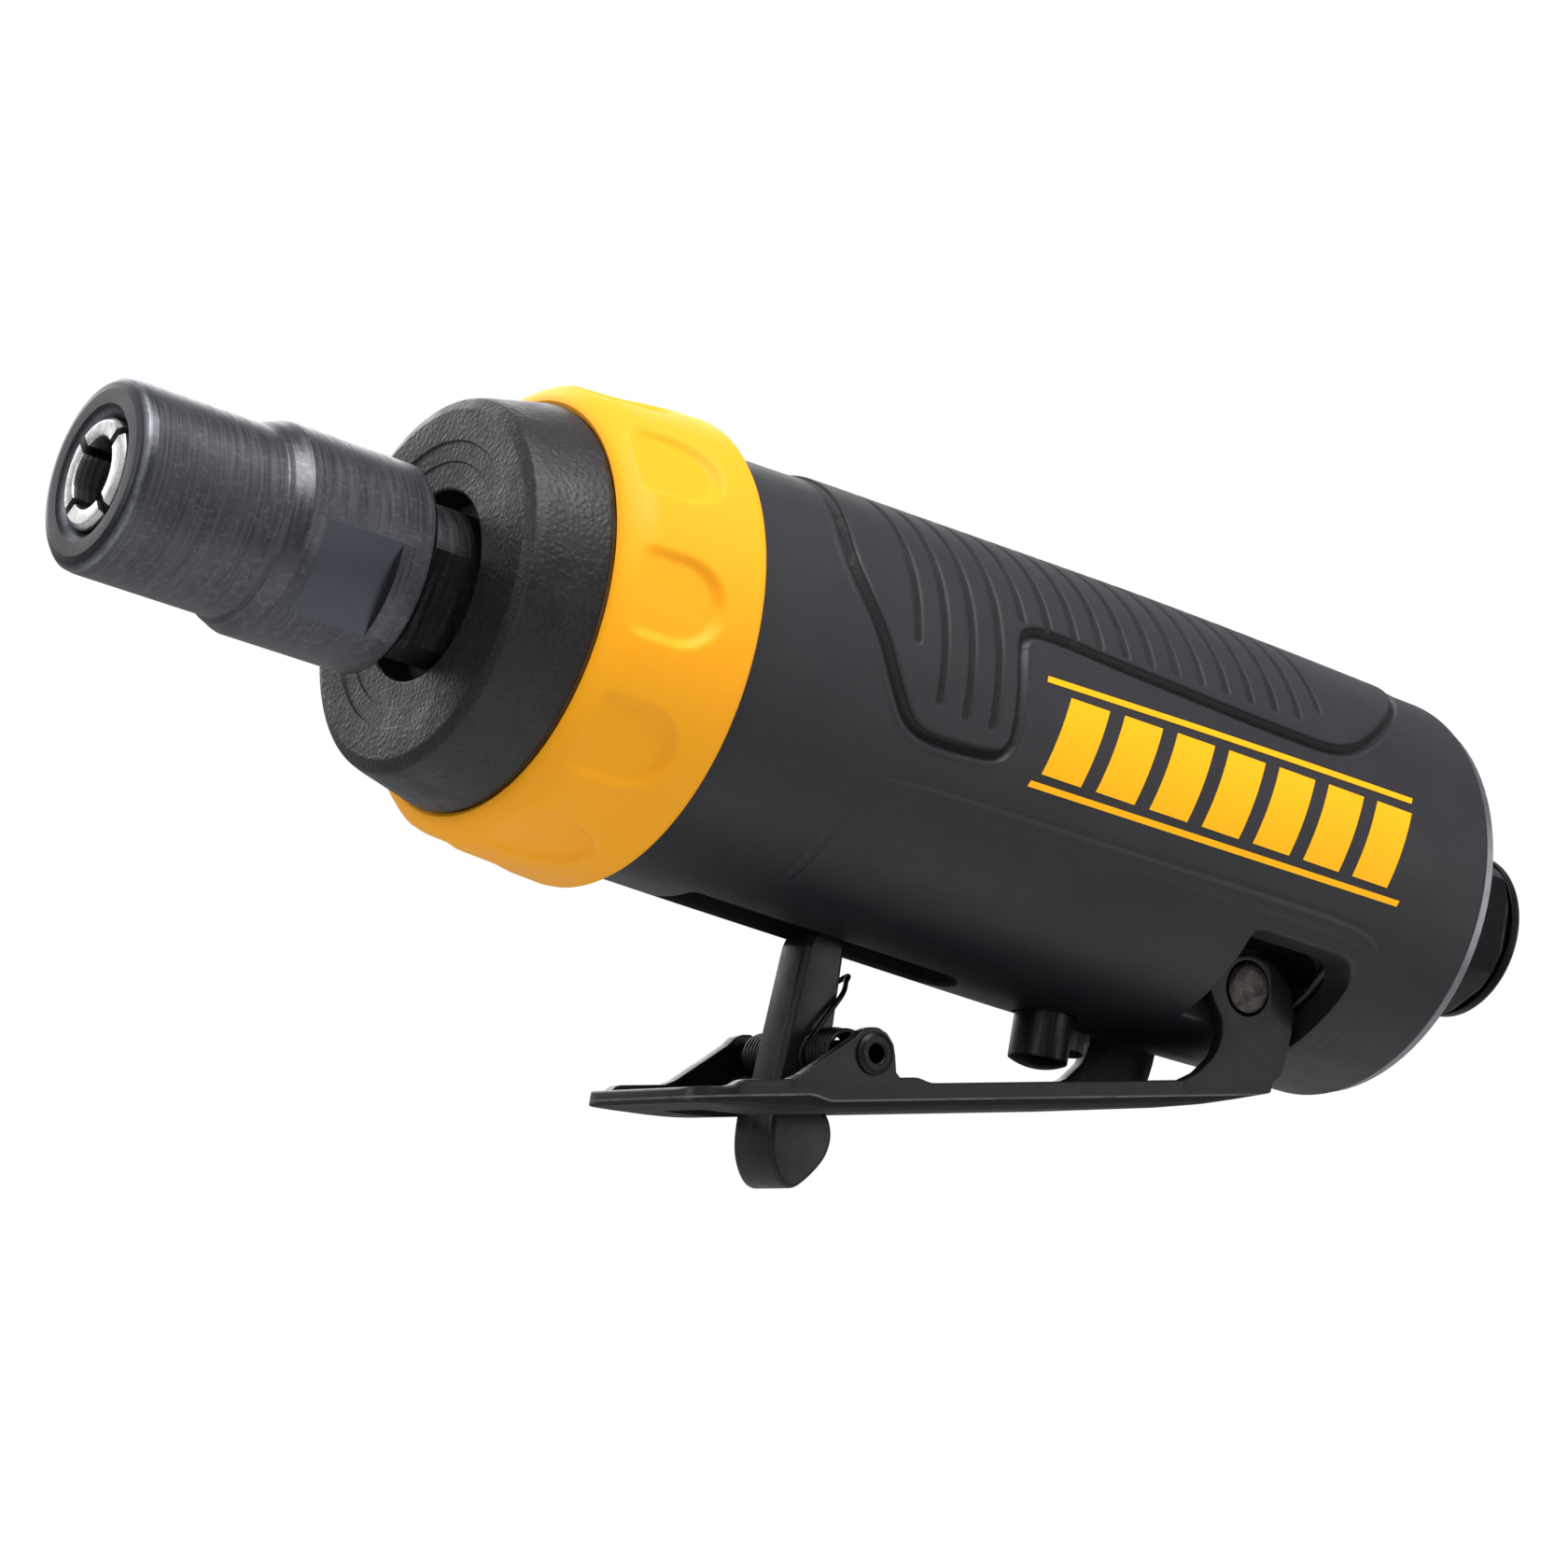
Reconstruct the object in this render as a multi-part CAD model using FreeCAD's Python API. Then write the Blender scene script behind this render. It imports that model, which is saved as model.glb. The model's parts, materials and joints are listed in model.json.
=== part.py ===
import FreeCAD, Part
import math
import os

# Straight pneumatic die grinder with a lever throttle and an interlocked safety latch.
# Frame, in millimetres: the origin is the mouth of the collet bore, on the spindle axis.
# +X runs along the spindle towards the air inlet, +Z is up, and the lever hangs below, at -Z.

V = FreeCAD.Vector
AXIS_X = V(1, 0, 0)
AXIS_Y = V(0, 1, 0)
AXIS_Z = V(0, 0, 1)

# ---------------------------------------------------------------- driving dimensions
SHANK_RADIUS = 3.175            # quarter-inch tool shank
COLLET_LENGTH = 20.0
COLLET_MOUTH_RADIUS = 4.9
COLLET_SHOULDER_RADIUS = 6.2
COLLET_TAIL_RADIUS = 4.3
COLLET_SLIT = 0.9
COLLET_SLIT_LENGTH = 15.0
COLLET_SLIT_ANGLE = 47.0        # first slit, measured from +Z towards -Y

NUT_NOSE_RADIUS = 8.5
NUT_BODY_RADIUS = 9.5
NUT_STEP_X = 14.0
NUT_LENGTH = 28.5
NUT_FLATS = 17.0                # across the two wrench flats
NUT_FLAT_START = 17.5
NUT_FLAT_END = 25.0
FLAT_ANGLE = 115.5              # outward direction of one flat, from +Z towards -Y
THREAD_CLEARANCE = 0.05
NOSE_THREAD_RADIUS = 6.6

SPINDLE_COLLAR_RADIUS = 7.0
SPINDLE_FLATS = 11.0
SPINDLE_NECK_RADIUS = 5.4

CAP_FRONT_X = 32.6
CAP_RADIUS_FRONT = 17.3
CAP_RADIUS_REAR = 18.7
CAP_HOLE_RADIUS = 8.6
CAP_SHOULDER_X = 39.9
CAP_SPIGOT_RADIUS = 15.25
CAP_REAR_X = 47.0

RING_FRONT_X = 40.0
RING_REAR_X = 54.0
RING_REAR_RADIUS = 21.84
RING_BORE_RADIUS = 18.5
SCALLOP_COUNT = 10
SCALLOP_FIRST_ANGLE = 18.0

SLEEVE_FRONT_X = 54.4
SLEEVE_REAR_X = 142.3
SLEEVE_FRONT_RADIUS = 19.75
SLEEVE_MID_RADIUS = 20.4
SLEEVE_REAR_RADIUS = 20.25
GRIP_PANEL_RISE = 0.45

HOUSING_RADIUS = 17.2
HOUSING_NECK_RADIUS = 18.45
HOUSING_FLANGE_RADIUS = 19.6
HOUSING_REAR_X = 143.4
MOTOR_BORE_RADIUS = 15.0
MOTOR_BORE_END_X = 100.5
AIR_PORT_RADIUS = 12.3          # circle of the ports in the rear plate and its gasket

FRONT_PLATE_X = 57.0            # rear face of the front end plate
REAR_PLATE_X = 91.0             # front face of the rear end plate
REAR_PLATE_END_X = 100.0
LINER_BORE_RADIUS = 12.5
LINER_ECCENTRICITY = 1.0
ROTOR_RADIUS = 11.2
ROTOR_END_GAP = 0.15
VANE_COUNT = 5
VANE_SLOT_WIDTH = 2.0
VANE_SLOT_FLOOR = 6.0
VANE_SIDE_GAP = 0.05

FRONT_BEARING = dict(x0=48.0, x1=55.0, bore=4.0, outer=11.0, balls=7)
REAR_BEARING = dict(x0=93.0, x1=99.0, bore=3.0, outer=9.5, balls=7)

VALVE_X = 107.5
VALVE_BORE_RADIUS = 4.6
VALVE_TOP_Z = 8.5
PLUNGER_RADIUS = 2.85
PLUNGER_RIM_Z = -24.75
PLUNGER_TIP_Z = -25.5           # lowest point of its domed end
PLUNGER_SHOULDER_Z = -12.6
PLUNGER_HOLE_RADIUS = 3.15      # through the grip
BUSHING_BOTTOM_Z = -16.5
BUSHING_TOP_Z = -11.2
BUSHING_SEAL_Z = (-14.4, -13.0)
SEAT_BOTTOM_Z = -8.0
SEAT_TOP_Z = -6.2

REGULATOR_X = 113.6
REGULATOR_Y = 4.2
REGULATOR_RADIUS = 2.0
REGULATOR_TIP_Z = -22.6
REGULATOR_TOP_Z = 1.0
REGULATOR_SOCKET = 2.0          # across the flats of its hex socket

INLET_AIR_RADIUS = 4.5
INLET_SOCKET_X = 131.0
INLET_THREAD_RADIUS = 8.0
INLET_END_X = 158.2
INLET_COLLAR_RADIUS = 8.4
INLET_HEX = 16.4                # across flats
INLET_NPT_RADIUS = 5.7          # quarter-inch female pipe thread

CHANNEL_FRONT_X = 64.0
CHANNEL_REAR_X = 96.0
CHANNEL_HALF_WIDTH = 3.2
CHANNEL_FLOOR_Z = -16.2

PIVOT_X = 122.9
PIVOT_Z = -14.35
PIVOT_PIN_RADIUS = 2.45
POCKET_FRONT_X = 116.8
POCKET_REAR_X = 130.6           # in the grip
HOUSING_POCKET_REAR_X = 129.5   # the metal stands proud of the grip's pocket wall
POCKET_TOP_Z = -10.4
POCKET_HALF_WIDTH = 8.7
POCKET_FRONT_CORNER = 1.0
POCKET_REAR_CORNER = 3.0

LEVER_HALF_WIDTH = 10.5
LEVER_SHEET = 1.4
LEVER_FRONT_X = 64.1
LEVER_TIP_END_X = 69.5          # the flat tip ends here and the dished part goes on
LEVER_DISH_X = 66.8
LEVER_STEP_X = 88.4             # the low side walls are higher in front of this
LEVER_STEP = 0.55
LEVER_DISH_TOP = -0.6
LEVER_DISH_BOTTOM = -2.62
LEVER_KNEE_X = 119.3            # where the side walls' tops are LEVER_KNEE_Z high
LEVER_KNEE_Z = -24.1
LEVER_SLOPE = 0.2435
LEVER_REAR_X = 127.6
LEVER_CORNER = 4.0
LATCH_SLOT_HALF_WIDTH = 3.4
LATCH_SLOT_FRONT_X = 69.1
LATCH_SLOT_REAR_X = 84.0

LATCH_X = 81.2
LATCH_Z = -30.6
LATCH_PIN_RADIUS = 1.4
LATCH_PIN_BORE = 0.85
LATCH_TOP_Z = -19.1
LATCH_POST_HALF_WIDTH = 2.2
LATCH_TAB_HALF_WIDTH = 3.0
LATCH_SPRING_WIRE = 0.4         # radius, with its coating
LATCH_SPRING_HOOK = (84.2, -22.6)

CUT = 30.0                      # reach of a cutting tool past the part


# ---------------------------------------------------------------- helpers
def polar(angle, radius):
    """Point offset at an angle from +Z towards -Y, in the YZ plane."""
    a = math.radians(angle)
    return V(0, -radius * math.sin(a), radius * math.cos(a))


def turned(points):
    """Solid of revolution about the spindle axis from (x, radius) corners."""
    corners = [V(x, 0, r) for x, r in points]
    face = Part.Face(Part.makePolygon(corners + corners[:1]))
    return face.revolve(V(0, 0, 0), AXIS_X, 360)


def rod(x0, x1, radius, y=0.0, z=0.0):
    return Part.makeCylinder(radius, x1 - x0, V(x0, y, z), AXIS_X)


def cross_rod(x, z, y0, y1, radius):
    return Part.makeCylinder(radius, y1 - y0, V(x, y0, z), AXIS_Y)


def post(x, y, z0, z1, radius):
    return Part.makeCylinder(radius, z1 - z0, V(x, y, z0), AXIS_Z)


def block(x0, x1, y0, y1, z0, z1):
    return Part.makeBox(x1 - x0, y1 - y0, z1 - z0, V(x0, y0, z0))


def tube(x0, x1, inner, outer):
    return rod(x0, x1, outer).cut(rod(x0 - 1, x1 + 1, inner))


def side_plate(points, y0, y1):
    """Prism of a side-view outline of (x, z) corners, from y0 to y1."""
    corners = [V(x, y0, z) for x, z in points]
    face = Part.Face(Part.makePolygon(corners + corners[:1]))
    return face.extrude(V(0, y1 - y0, 0))


def spun(shape, angle):
    """Copy turned about the spindle axis, from +Z towards -Y."""
    copy = shape.copy()
    copy.rotate(V(0, 0, 0), AXIS_X, angle)
    return copy


def flats_cutter(x0, x1, across):
    """Two blocks that leave a pair of parallel flats at FLAT_ANGLE."""
    half = across / 2
    upper = block(x0, x1, -CUT, CUT, half, CUT)
    lower = block(x0, x1, -CUT, CUT, -CUT, -half)
    return spun(upper.fuse(lower), FLAT_ANGLE)


def group(shapes):
    return Part.makeCompound(shapes)


def round_corner(edge_solid, x0, x1, radius):
    """Fillet the edges of a solid that lie wholly between x0 and x1."""
    edges = [e for e in edge_solid.Edges
             if e.BoundBox.XMin > x0 and e.BoundBox.XMax < x1]
    return edge_solid.makeFillet(radius, edges)


# ---------------------------------------------------------------- collet end
def collet_taper(x):
    """Radius of the collet's rear taper."""
    slope = (5.4 - COLLET_TAIL_RADIUS) / (COLLET_LENGTH - 9.0)
    return 5.4 - slope * (x - 9.0)


def make_collet():
    body = turned([(0, SHANK_RADIUS), (0, 4.5), (0.4, COLLET_MOUTH_RADIUS),
                   (1.6, COLLET_MOUTH_RADIUS), (2.9, COLLET_SHOULDER_RADIUS),
                   (4.6, COLLET_SHOULDER_RADIUS), (5.3, 5.45), (9.0, collet_taper(9.0)),
                   (COLLET_LENGTH, COLLET_TAIL_RADIUS), (COLLET_LENGTH, SHANK_RADIUS)])
    half = COLLET_SLIT / 2
    for i in range(4):
        slit = block(-1, COLLET_SLIT_LENGTH, -half, half, 0, CUT)
        body = body.cut(spun(slit, COLLET_SLIT_ANGLE + 90 * i))
    return body


def make_collet_nut():
    thread = NOSE_THREAD_RADIUS + THREAD_CLEARANCE
    rear = NUT_LENGTH
    nut = turned([(0, 6.0), (0, 7.3), (0.12, 7.85), (0.5, 8.3), (1.2, NUT_NOSE_RADIUS),
                  (NUT_STEP_X, NUT_NOSE_RADIUS), (NUT_STEP_X + 1.0, NUT_BODY_RADIUS),
                  (rear - 0.5, NUT_BODY_RADIUS), (rear, NUT_BODY_RADIUS - 0.5),
                  (rear, 7.4), (rear - 1.5, 7.4), (rear - 1.8, thread), (3.2, thread),
                  (1.55, 5.0), (1.0, 5.0)])
    return nut.cut(flats_cutter(NUT_FLAT_START, NUT_FLAT_END, NUT_FLATS))


def make_collet_body():
    gap = 0.08
    body = turned([(8.0, collet_taper(8.0) + gap), (8.0, 6.3), (8.3, NOSE_THREAD_RADIUS),
                   (27.2, NOSE_THREAD_RADIUS), (27.6, SPINDLE_COLLAR_RADIUS),
                   (36.2, SPINDLE_COLLAR_RADIUS), (36.2, SPINDLE_NECK_RADIUS),
                   (FRONT_BEARING["x0"], SPINDLE_NECK_RADIUS),
                   (FRONT_BEARING["x0"], 3.9), (32.0, 3.9), (31.0, 3.6), (21.5, 3.6),
                   (21.5, collet_taper(21.5) + gap)])
    return body.cut(flats_cutter(28.3, 34.6, SPINDLE_FLATS))


# ---------------------------------------------------------------- air motor
def make_rotor():
    front = FRONT_PLATE_X + ROTOR_END_GAP
    rear = REAR_PLATE_X - ROTOR_END_GAP
    rotor = turned([(33.0, 0), (33.0, 3.4), (33.5, 3.9), (FRONT_BEARING["x0"], 3.9),
                    (FRONT_BEARING["x0"], 4.0), (FRONT_BEARING["x1"], 4.0),
                    (FRONT_BEARING["x1"], SPINDLE_NECK_RADIUS), (front, SPINDLE_NECK_RADIUS),
                    (front, ROTOR_RADIUS), (rear, ROTOR_RADIUS), (rear, 4.4),
                    (REAR_BEARING["x0"], 4.4), (REAR_BEARING["x0"], 3.0), (99.8, 3.0), (99.8, 0)])
    half = VANE_SLOT_WIDTH / 2
    for i in range(VANE_COUNT):
        slot = block(front - 1, rear + 1, -half, half, VANE_SLOT_FLOOR, CUT)
        rotor = rotor.cut(spun(slot, 360 / VANE_COUNT * i))
    return rotor


def make_rotor_vanes():
    half = VANE_SLOT_WIDTH / 2 - VANE_SIDE_GAP
    front = FRONT_PLATE_X + ROTOR_END_GAP
    rear = REAR_PLATE_X - ROTOR_END_GAP
    blade = block(front, rear, -half, half, VANE_SLOT_FLOOR + 0.2, ROTOR_RADIUS - 0.05)
    return group([spun(blade, 360 / VANE_COUNT * i) for i in range(VANE_COUNT)])


def make_cylinder_liner():
    liner = rod(FRONT_PLATE_X, REAR_PLATE_X, MOTOR_BORE_RADIUS)
    bore = rod(FRONT_PLATE_X - 1, REAR_PLATE_X + 1, LINER_BORE_RADIUS, z=LINER_ECCENTRICITY)
    liner = liner.cut(bore)
    for angle in (150, 180, 210):
        centre = polar(angle, 13.4)
        liner = liner.cut(rod(FRONT_PLATE_X - 1, REAR_PLATE_X + 1, 0.8, centre.y, centre.z))
    return liner


def make_front_end_plate():
    plate = turned([(CAP_REAR_X, FRONT_BEARING["outer"]), (CAP_REAR_X, MOTOR_BORE_RADIUS),
                    (FRONT_PLATE_X, MOTOR_BORE_RADIUS), (FRONT_PLATE_X, 5.9),
                    (FRONT_BEARING["x1"], 5.9), (FRONT_BEARING["x1"], FRONT_BEARING["outer"])])
    for angle in (60, 90, 120, 240, 270, 300):
        centre = polar(angle, 13.0)
        plate = plate.cut(rod(CAP_REAR_X - 1, FRONT_PLATE_X + 1, 1.3, centre.y, centre.z))
    return plate


def make_rear_end_plate():
    plate = turned([(REAR_PLATE_X, 5.0), (REAR_PLATE_X, MOTOR_BORE_RADIUS),
                    (REAR_PLATE_END_X, MOTOR_BORE_RADIUS),
                    (REAR_PLATE_END_X, REAR_BEARING["outer"]),
                    (REAR_BEARING["x0"], REAR_BEARING["outer"]), (REAR_BEARING["x0"], 5.0)])
    return plate.cut(air_ports())


def air_ports():
    """Three inlet ports at the bottom, through the rear plate and its gasket."""
    ports = []
    for angle in (165, 180, 195):
        centre = polar(angle, AIR_PORT_RADIUS)
        ports.append(rod(REAR_PLATE_X - 1, MOTOR_BORE_END_X + 1, 1.3, centre.y, centre.z))
    return group(ports)


def bearing_parts(spec):
    """Outer race, inner race, ball set and cage of a deep-groove ball bearing."""
    x0, x1 = spec["x0"], spec["x1"]
    middle = (x0 + x1) / 2
    wall = spec["outer"] - spec["bore"]
    pitch = spec["bore"] + wall / 2
    ball = wall * 0.25
    groove = Part.makeTorus(pitch, ball + 0.04, V(middle, 0, 0), AXIS_X)
    outer = tube(x0, x1, pitch + ball * 0.62, spec["outer"]).cut(groove)
    inner = tube(x0, x1, spec["bore"], pitch - ball * 0.62).cut(groove)
    balls = []
    pockets = []
    for i in range(spec["balls"]):
        centre = polar(360 / spec["balls"] * i, pitch) + V(middle, 0, 0)
        balls.append(Part.makeSphere(ball, centre))
        pockets.append(Part.makeSphere(ball + 0.06, centre))
    cage = tube(middle - ball - 0.5, middle + ball + 0.5, pitch - 0.45, pitch + 0.45)
    for pocket in pockets:
        cage = cage.cut(pocket)
    return outer, inner, group(balls), cage


def make_dowel_pins():
    pins = []
    for angle in (30, 330):
        centre = polar(angle, 14.0)
        pins.append(rod(FRONT_PLATE_X - 2.0, FRONT_PLATE_X + 3.0, 0.5, centre.y, centre.z))
    return group(pins)


# ---------------------------------------------------------------- front casing and ring
def make_front_cap():
    x, edge = CAP_FRONT_X, CAP_RADIUS_FRONT
    cap = turned([(x + 0.8, CAP_HOLE_RADIUS), (x + 0.8, 11.2), (x + 0.4, 11.2), (x + 0.4, 12.8),
                  (x, 12.8), (x, edge - 1.45), (x + 0.15, edge - 0.75), (x + 0.5, edge - 0.25), (x + 1.1, edge),
                  (CAP_SHOULDER_X, CAP_RADIUS_REAR), (CAP_SHOULDER_X, CAP_SPIGOT_RADIUS),
                  (CAP_REAR_X, CAP_SPIGOT_RADIUS), (CAP_REAR_X, 13.2), (39.2, 13.2),
                  (38.5, 12.5), (38.5, 10.0), (36.6, 10.0), (36.6, CAP_HOLE_RADIUS)])
    return cap.cut(exhaust_drills(12.0))


def exhaust_drills(inner):
    """Radial exhaust drillings that feed the annular space inside the ring."""
    drills = []
    for i in range(6):
        drill = Part.makeCylinder(1.5, 8, V(44.0, 0, inner), AXIS_Z)
        drills.append(spun(drill, 30 + 60 * i))
    return group(drills)


def make_exhaust_ring():
    x0, x1 = RING_FRONT_X, RING_REAR_X
    ring = turned([(x0, 19.0), (x0 + 0.1, 19.5), (x0 + 1.6, 20.85), (x0 + 2.6, 21.2),
                   (x1 - 0.7, RING_REAR_RADIUS), (x1, RING_REAR_RADIUS - 0.5),
                   (x1, RING_BORE_RADIUS), (49.5, RING_BORE_RADIUS), (49.0, 19.6), (42.3, 19.6),
                   (41.8, RING_BORE_RADIUS), (x0 + 0.3, RING_BORE_RADIUS), (x0, 18.8)])
    pitch = 360 / SCALLOP_COUNT
    for i in range(SCALLOP_COUNT):
        pad = block(x0 - 2, x0 + 7.0, -3.4, 3.4, 20.95, CUT)
        pad = pad.fuse(post(x0 + 7.0, 0, 20.95, CUT, 3.4))
        ring = ring.cut(spun(pad, SCALLOP_FIRST_ANGLE + pitch * i))
    for angle in (-54, -90, -126):
        vent = block(x0 + 2.9, x0 + 8.2, -1.2, 1.2, 18.0, CUT)
        ring = ring.cut(spun(vent, angle))
    return ring


# ---------------------------------------------------------------- housing and grip
def pocket(rear, side):
    """Pocket that an ear of the lever turns in, on one side."""
    y0, y1 = sorted((side * POCKET_HALF_WIDTH, side * CUT))
    solid = block(POCKET_FRONT_X, rear, y0, y1, -CUT, POCKET_TOP_Z)
    for x, radius in ((POCKET_FRONT_X, POCKET_FRONT_CORNER), (rear, POCKET_REAR_CORNER)):
        corner = [e for e in solid.Edges if e.BoundBox.YLength > 1
                  and e.BoundBox.XLength < 0.01 and e.BoundBox.ZLength < 0.01
                  and e.BoundBox.ZMax > POCKET_TOP_Z - 0.01 and abs(e.BoundBox.XMax - x) < 0.01]
        solid = solid.makeFillet(radius, corner)
    return solid


def handle_cutters(pocket_rear, valve_radius):
    """Latch channel, lever pockets and valve bores of the housing or the grip."""
    channel = block(CHANNEL_FRONT_X, CHANNEL_REAR_X, -CHANNEL_HALF_WIDTH, CHANNEL_HALF_WIDTH,
                    -CUT, CHANNEL_FLOOR_Z)
    regulator = post(REGULATOR_X, REGULATOR_Y, -CUT, REGULATOR_TOP_Z + 0.4, REGULATOR_RADIUS + 0.05)
    valve = post(VALVE_X, 0, -CUT, VALVE_TOP_Z, valve_radius)
    pin = cross_rod(PIVOT_X, PIVOT_Z, -CUT, CUT, PIVOT_PIN_RADIUS)
    return [channel, pocket(pocket_rear, -1), pocket(pocket_rear, 1), regulator, valve, pin]


def air_feed():
    """Slanted drilling from under the valve seat to the motor's rear plate."""
    start = V(MOTOR_BORE_END_X - 1.0, 0, -AIR_PORT_RADIUS)
    end = V(VALVE_X, 0, -9.6)
    run = end - start
    return Part.makeCylinder(1.3, run.Length, start, run)


def make_motor_housing():
    body = turned([(CAP_SHOULDER_X, CAP_SPIGOT_RADIUS), (CAP_SHOULDER_X, HOUSING_NECK_RADIUS),
                   (SLEEVE_FRONT_X - 0.2, HOUSING_NECK_RADIUS), (SLEEVE_FRONT_X - 0.2, HOUSING_RADIUS),
                   (SLEEVE_REAR_X, HOUSING_RADIUS), (SLEEVE_REAR_X, HOUSING_FLANGE_RADIUS),
                   (HOUSING_REAR_X - 0.3, HOUSING_FLANGE_RADIUS),
                   (HOUSING_REAR_X, HOUSING_FLANGE_RADIUS - 0.3), (HOUSING_REAR_X, INLET_THREAD_RADIUS),
                   (INLET_SOCKET_X, INLET_THREAD_RADIUS), (INLET_SOCKET_X, INLET_AIR_RADIUS),
                   (VALVE_X, INLET_AIR_RADIUS), (VALVE_X, 0), (MOTOR_BORE_END_X, 0),
                   (MOTOR_BORE_END_X, MOTOR_BORE_RADIUS), (CAP_REAR_X, MOTOR_BORE_RADIUS),
                   (CAP_REAR_X, CAP_SPIGOT_RADIUS)])
    body = body.cut(air_feed())
    body = body.cut(exhaust_drills(14.0))
    for cutter in handle_cutters(HOUSING_POCKET_REAR_X, VALVE_BORE_RADIUS):
        body = body.cut(cutter)
    return body


def sleeve_outer(rise):
    """Barrel-shaped outside of the grip as a solid, lifted by rise."""
    x0, x1 = SLEEVE_FRONT_X, SLEEVE_REAR_X
    edge = 0.9
    start = V(x0, 0, SLEEVE_FRONT_RADIUS + rise)
    middle = V(104.0, 0, SLEEVE_MID_RADIUS + rise)
    end = V(x1 - edge, 0, SLEEVE_REAR_RADIUS + rise)
    corner = V(x1 - edge * 0.3, 0, end.z - edge * 0.3)
    rear = V(x1, 0, end.z - edge)
    outline = [Part.Arc(start, middle, end).toShape(), Part.Arc(end, corner, rear).toShape(),
               Part.makeLine(rear, V(x1, 0, 0)), Part.makeLine(V(x1, 0, 0), V(x0, 0, 0)),
               Part.makeLine(V(x0, 0, 0), start)]
    return Part.Face(Part.Wire(outline)).revolve(V(0, 0, 0), AXIS_X, 360)


def make_grip_sleeve():
    panel_side = [(64.6, 30), (64.6, 10), (69.0, 1.2), (72.0, -3.3), (74.5, -4.2), (82.0, -4.0),
                  (83.6, -2.4), (83.6, 7.0), (85.2, 9.0), (121.0, 8.0), (125.0, 9.2),
                  (133.3, 15.4), (137.0, 18.9), (137.0, 30)]
    panel = sleeve_outer(GRIP_PANEL_RISE).common(side_plate(panel_side, -CUT, CUT))
    sleeve = sleeve_outer(0).fuse(panel)
    sleeve = sleeve.cut(rod(SLEEVE_FRONT_X - 1, SLEEVE_REAR_X + 1, HOUSING_RADIUS))
    for cutter in handle_cutters(POCKET_REAR_X, PLUNGER_HOLE_RADIUS):
        sleeve = sleeve.cut(cutter)
    return sleeve


# ---------------------------------------------------------------- valve, regulator, inlet
def make_valve_bushing():
    bushing = post(VALVE_X, 0, BUSHING_BOTTOM_Z, BUSHING_TOP_Z, VALVE_BORE_RADIUS)
    bushing = bushing.cut(post(VALVE_X, 0, -CUT, 0, PLUNGER_RADIUS + 0.05))
    return bushing.cut(post(VALVE_X, 0, *BUSHING_SEAL_Z, 3.9))


def make_bushing_seal():
    seal = post(VALVE_X, 0, *BUSHING_SEAL_Z, 3.9)
    return seal.cut(post(VALVE_X, 0, -CUT, 0, PLUNGER_RADIUS + 0.05))


def make_throttle_plunger():
    """Pin with a domed end, and a thin stem that lifts the poppet."""
    rise = PLUNGER_RIM_Z - PLUNGER_TIP_Z
    dome_radius = (PLUNGER_RADIUS ** 2 + rise ** 2) / (2 * rise)
    body = post(VALVE_X, 0, PLUNGER_TIP_Z, PLUNGER_SHOULDER_Z, PLUNGER_RADIUS)
    ball = Part.makeSphere(dome_radius, V(VALVE_X, 0, PLUNGER_TIP_Z + dome_radius))
    above = post(VALVE_X, 0, PLUNGER_RIM_Z, 0, PLUNGER_RADIUS + 1)
    body = body.common(ball.fuse(above))
    return body.fuse(post(VALVE_X, 0, PLUNGER_SHOULDER_Z, SEAT_TOP_Z + 0.6, 1.2)).removeSplitter()


def make_throttle_poppet():
    disc = post(VALVE_X, 0, SEAT_TOP_Z + 0.6, SEAT_TOP_Z + 1.8, 3.9)
    return disc.fuse(post(VALVE_X, 0, SEAT_TOP_Z + 1.8, SEAT_TOP_Z + 3.4, 1.3)).removeSplitter()


def make_poppet_seal():
    seal = post(VALVE_X, 0, SEAT_TOP_Z, SEAT_TOP_Z + 0.6, 3.7)
    return seal.cut(post(VALVE_X, 0, -CUT, CUT, 1.2))


def make_valve_seat():
    seat = post(VALVE_X, 0, SEAT_BOTTOM_Z, SEAT_TOP_Z, VALVE_BORE_RADIUS)
    return seat.cut(post(VALVE_X, 0, -CUT, CUT, 2.5))


def make_valve_spring():
    spring = post(VALVE_X, 0, SEAT_TOP_Z + 1.8, VALVE_TOP_Z, 2.5)
    return spring.cut(post(VALVE_X, 0, -CUT, CUT, 1.8))


def make_regulator_stem():
    stem = post(REGULATOR_X, REGULATOR_Y, REGULATOR_TIP_Z, REGULATOR_TOP_Z, REGULATOR_RADIUS)
    tip = [e for e in stem.Edges if e.BoundBox.ZMax < REGULATOR_TIP_Z + 0.1]
    stem = stem.makeFillet(0.4, tip)
    corner = REGULATOR_SOCKET / math.sqrt(3)
    hexagon = [V(corner * math.cos(math.radians(60 * i)), corner * math.sin(math.radians(60 * i)), 0)
               for i in range(7)]
    socket = Part.Face(Part.makePolygon(hexagon)).extrude(V(0, 0, 2.2))
    socket.translate(V(REGULATOR_X, REGULATOR_Y, REGULATOR_TIP_Z - 0.7))
    groove = post(REGULATOR_X, REGULATOR_Y, -14.0, -12.8, REGULATOR_RADIUS + 1)
    groove = groove.cut(post(REGULATOR_X, REGULATOR_Y, -15, -12, 1.3))
    gate = post(REGULATOR_X, REGULATOR_Y, -4.6, -0.4, REGULATOR_RADIUS + 1)
    gate = gate.cut(block(REGULATOR_X - 0.8, REGULATOR_X + 0.8, -CUT, CUT, -CUT, CUT))
    return stem.cut(socket).cut(groove).cut(gate)


def make_regulator_seal():
    seal = post(REGULATOR_X, REGULATOR_Y, -13.9, -12.9, REGULATOR_RADIUS + 0.02)
    return seal.cut(post(REGULATOR_X, REGULATOR_Y, -CUT, CUT, 1.35))


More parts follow.
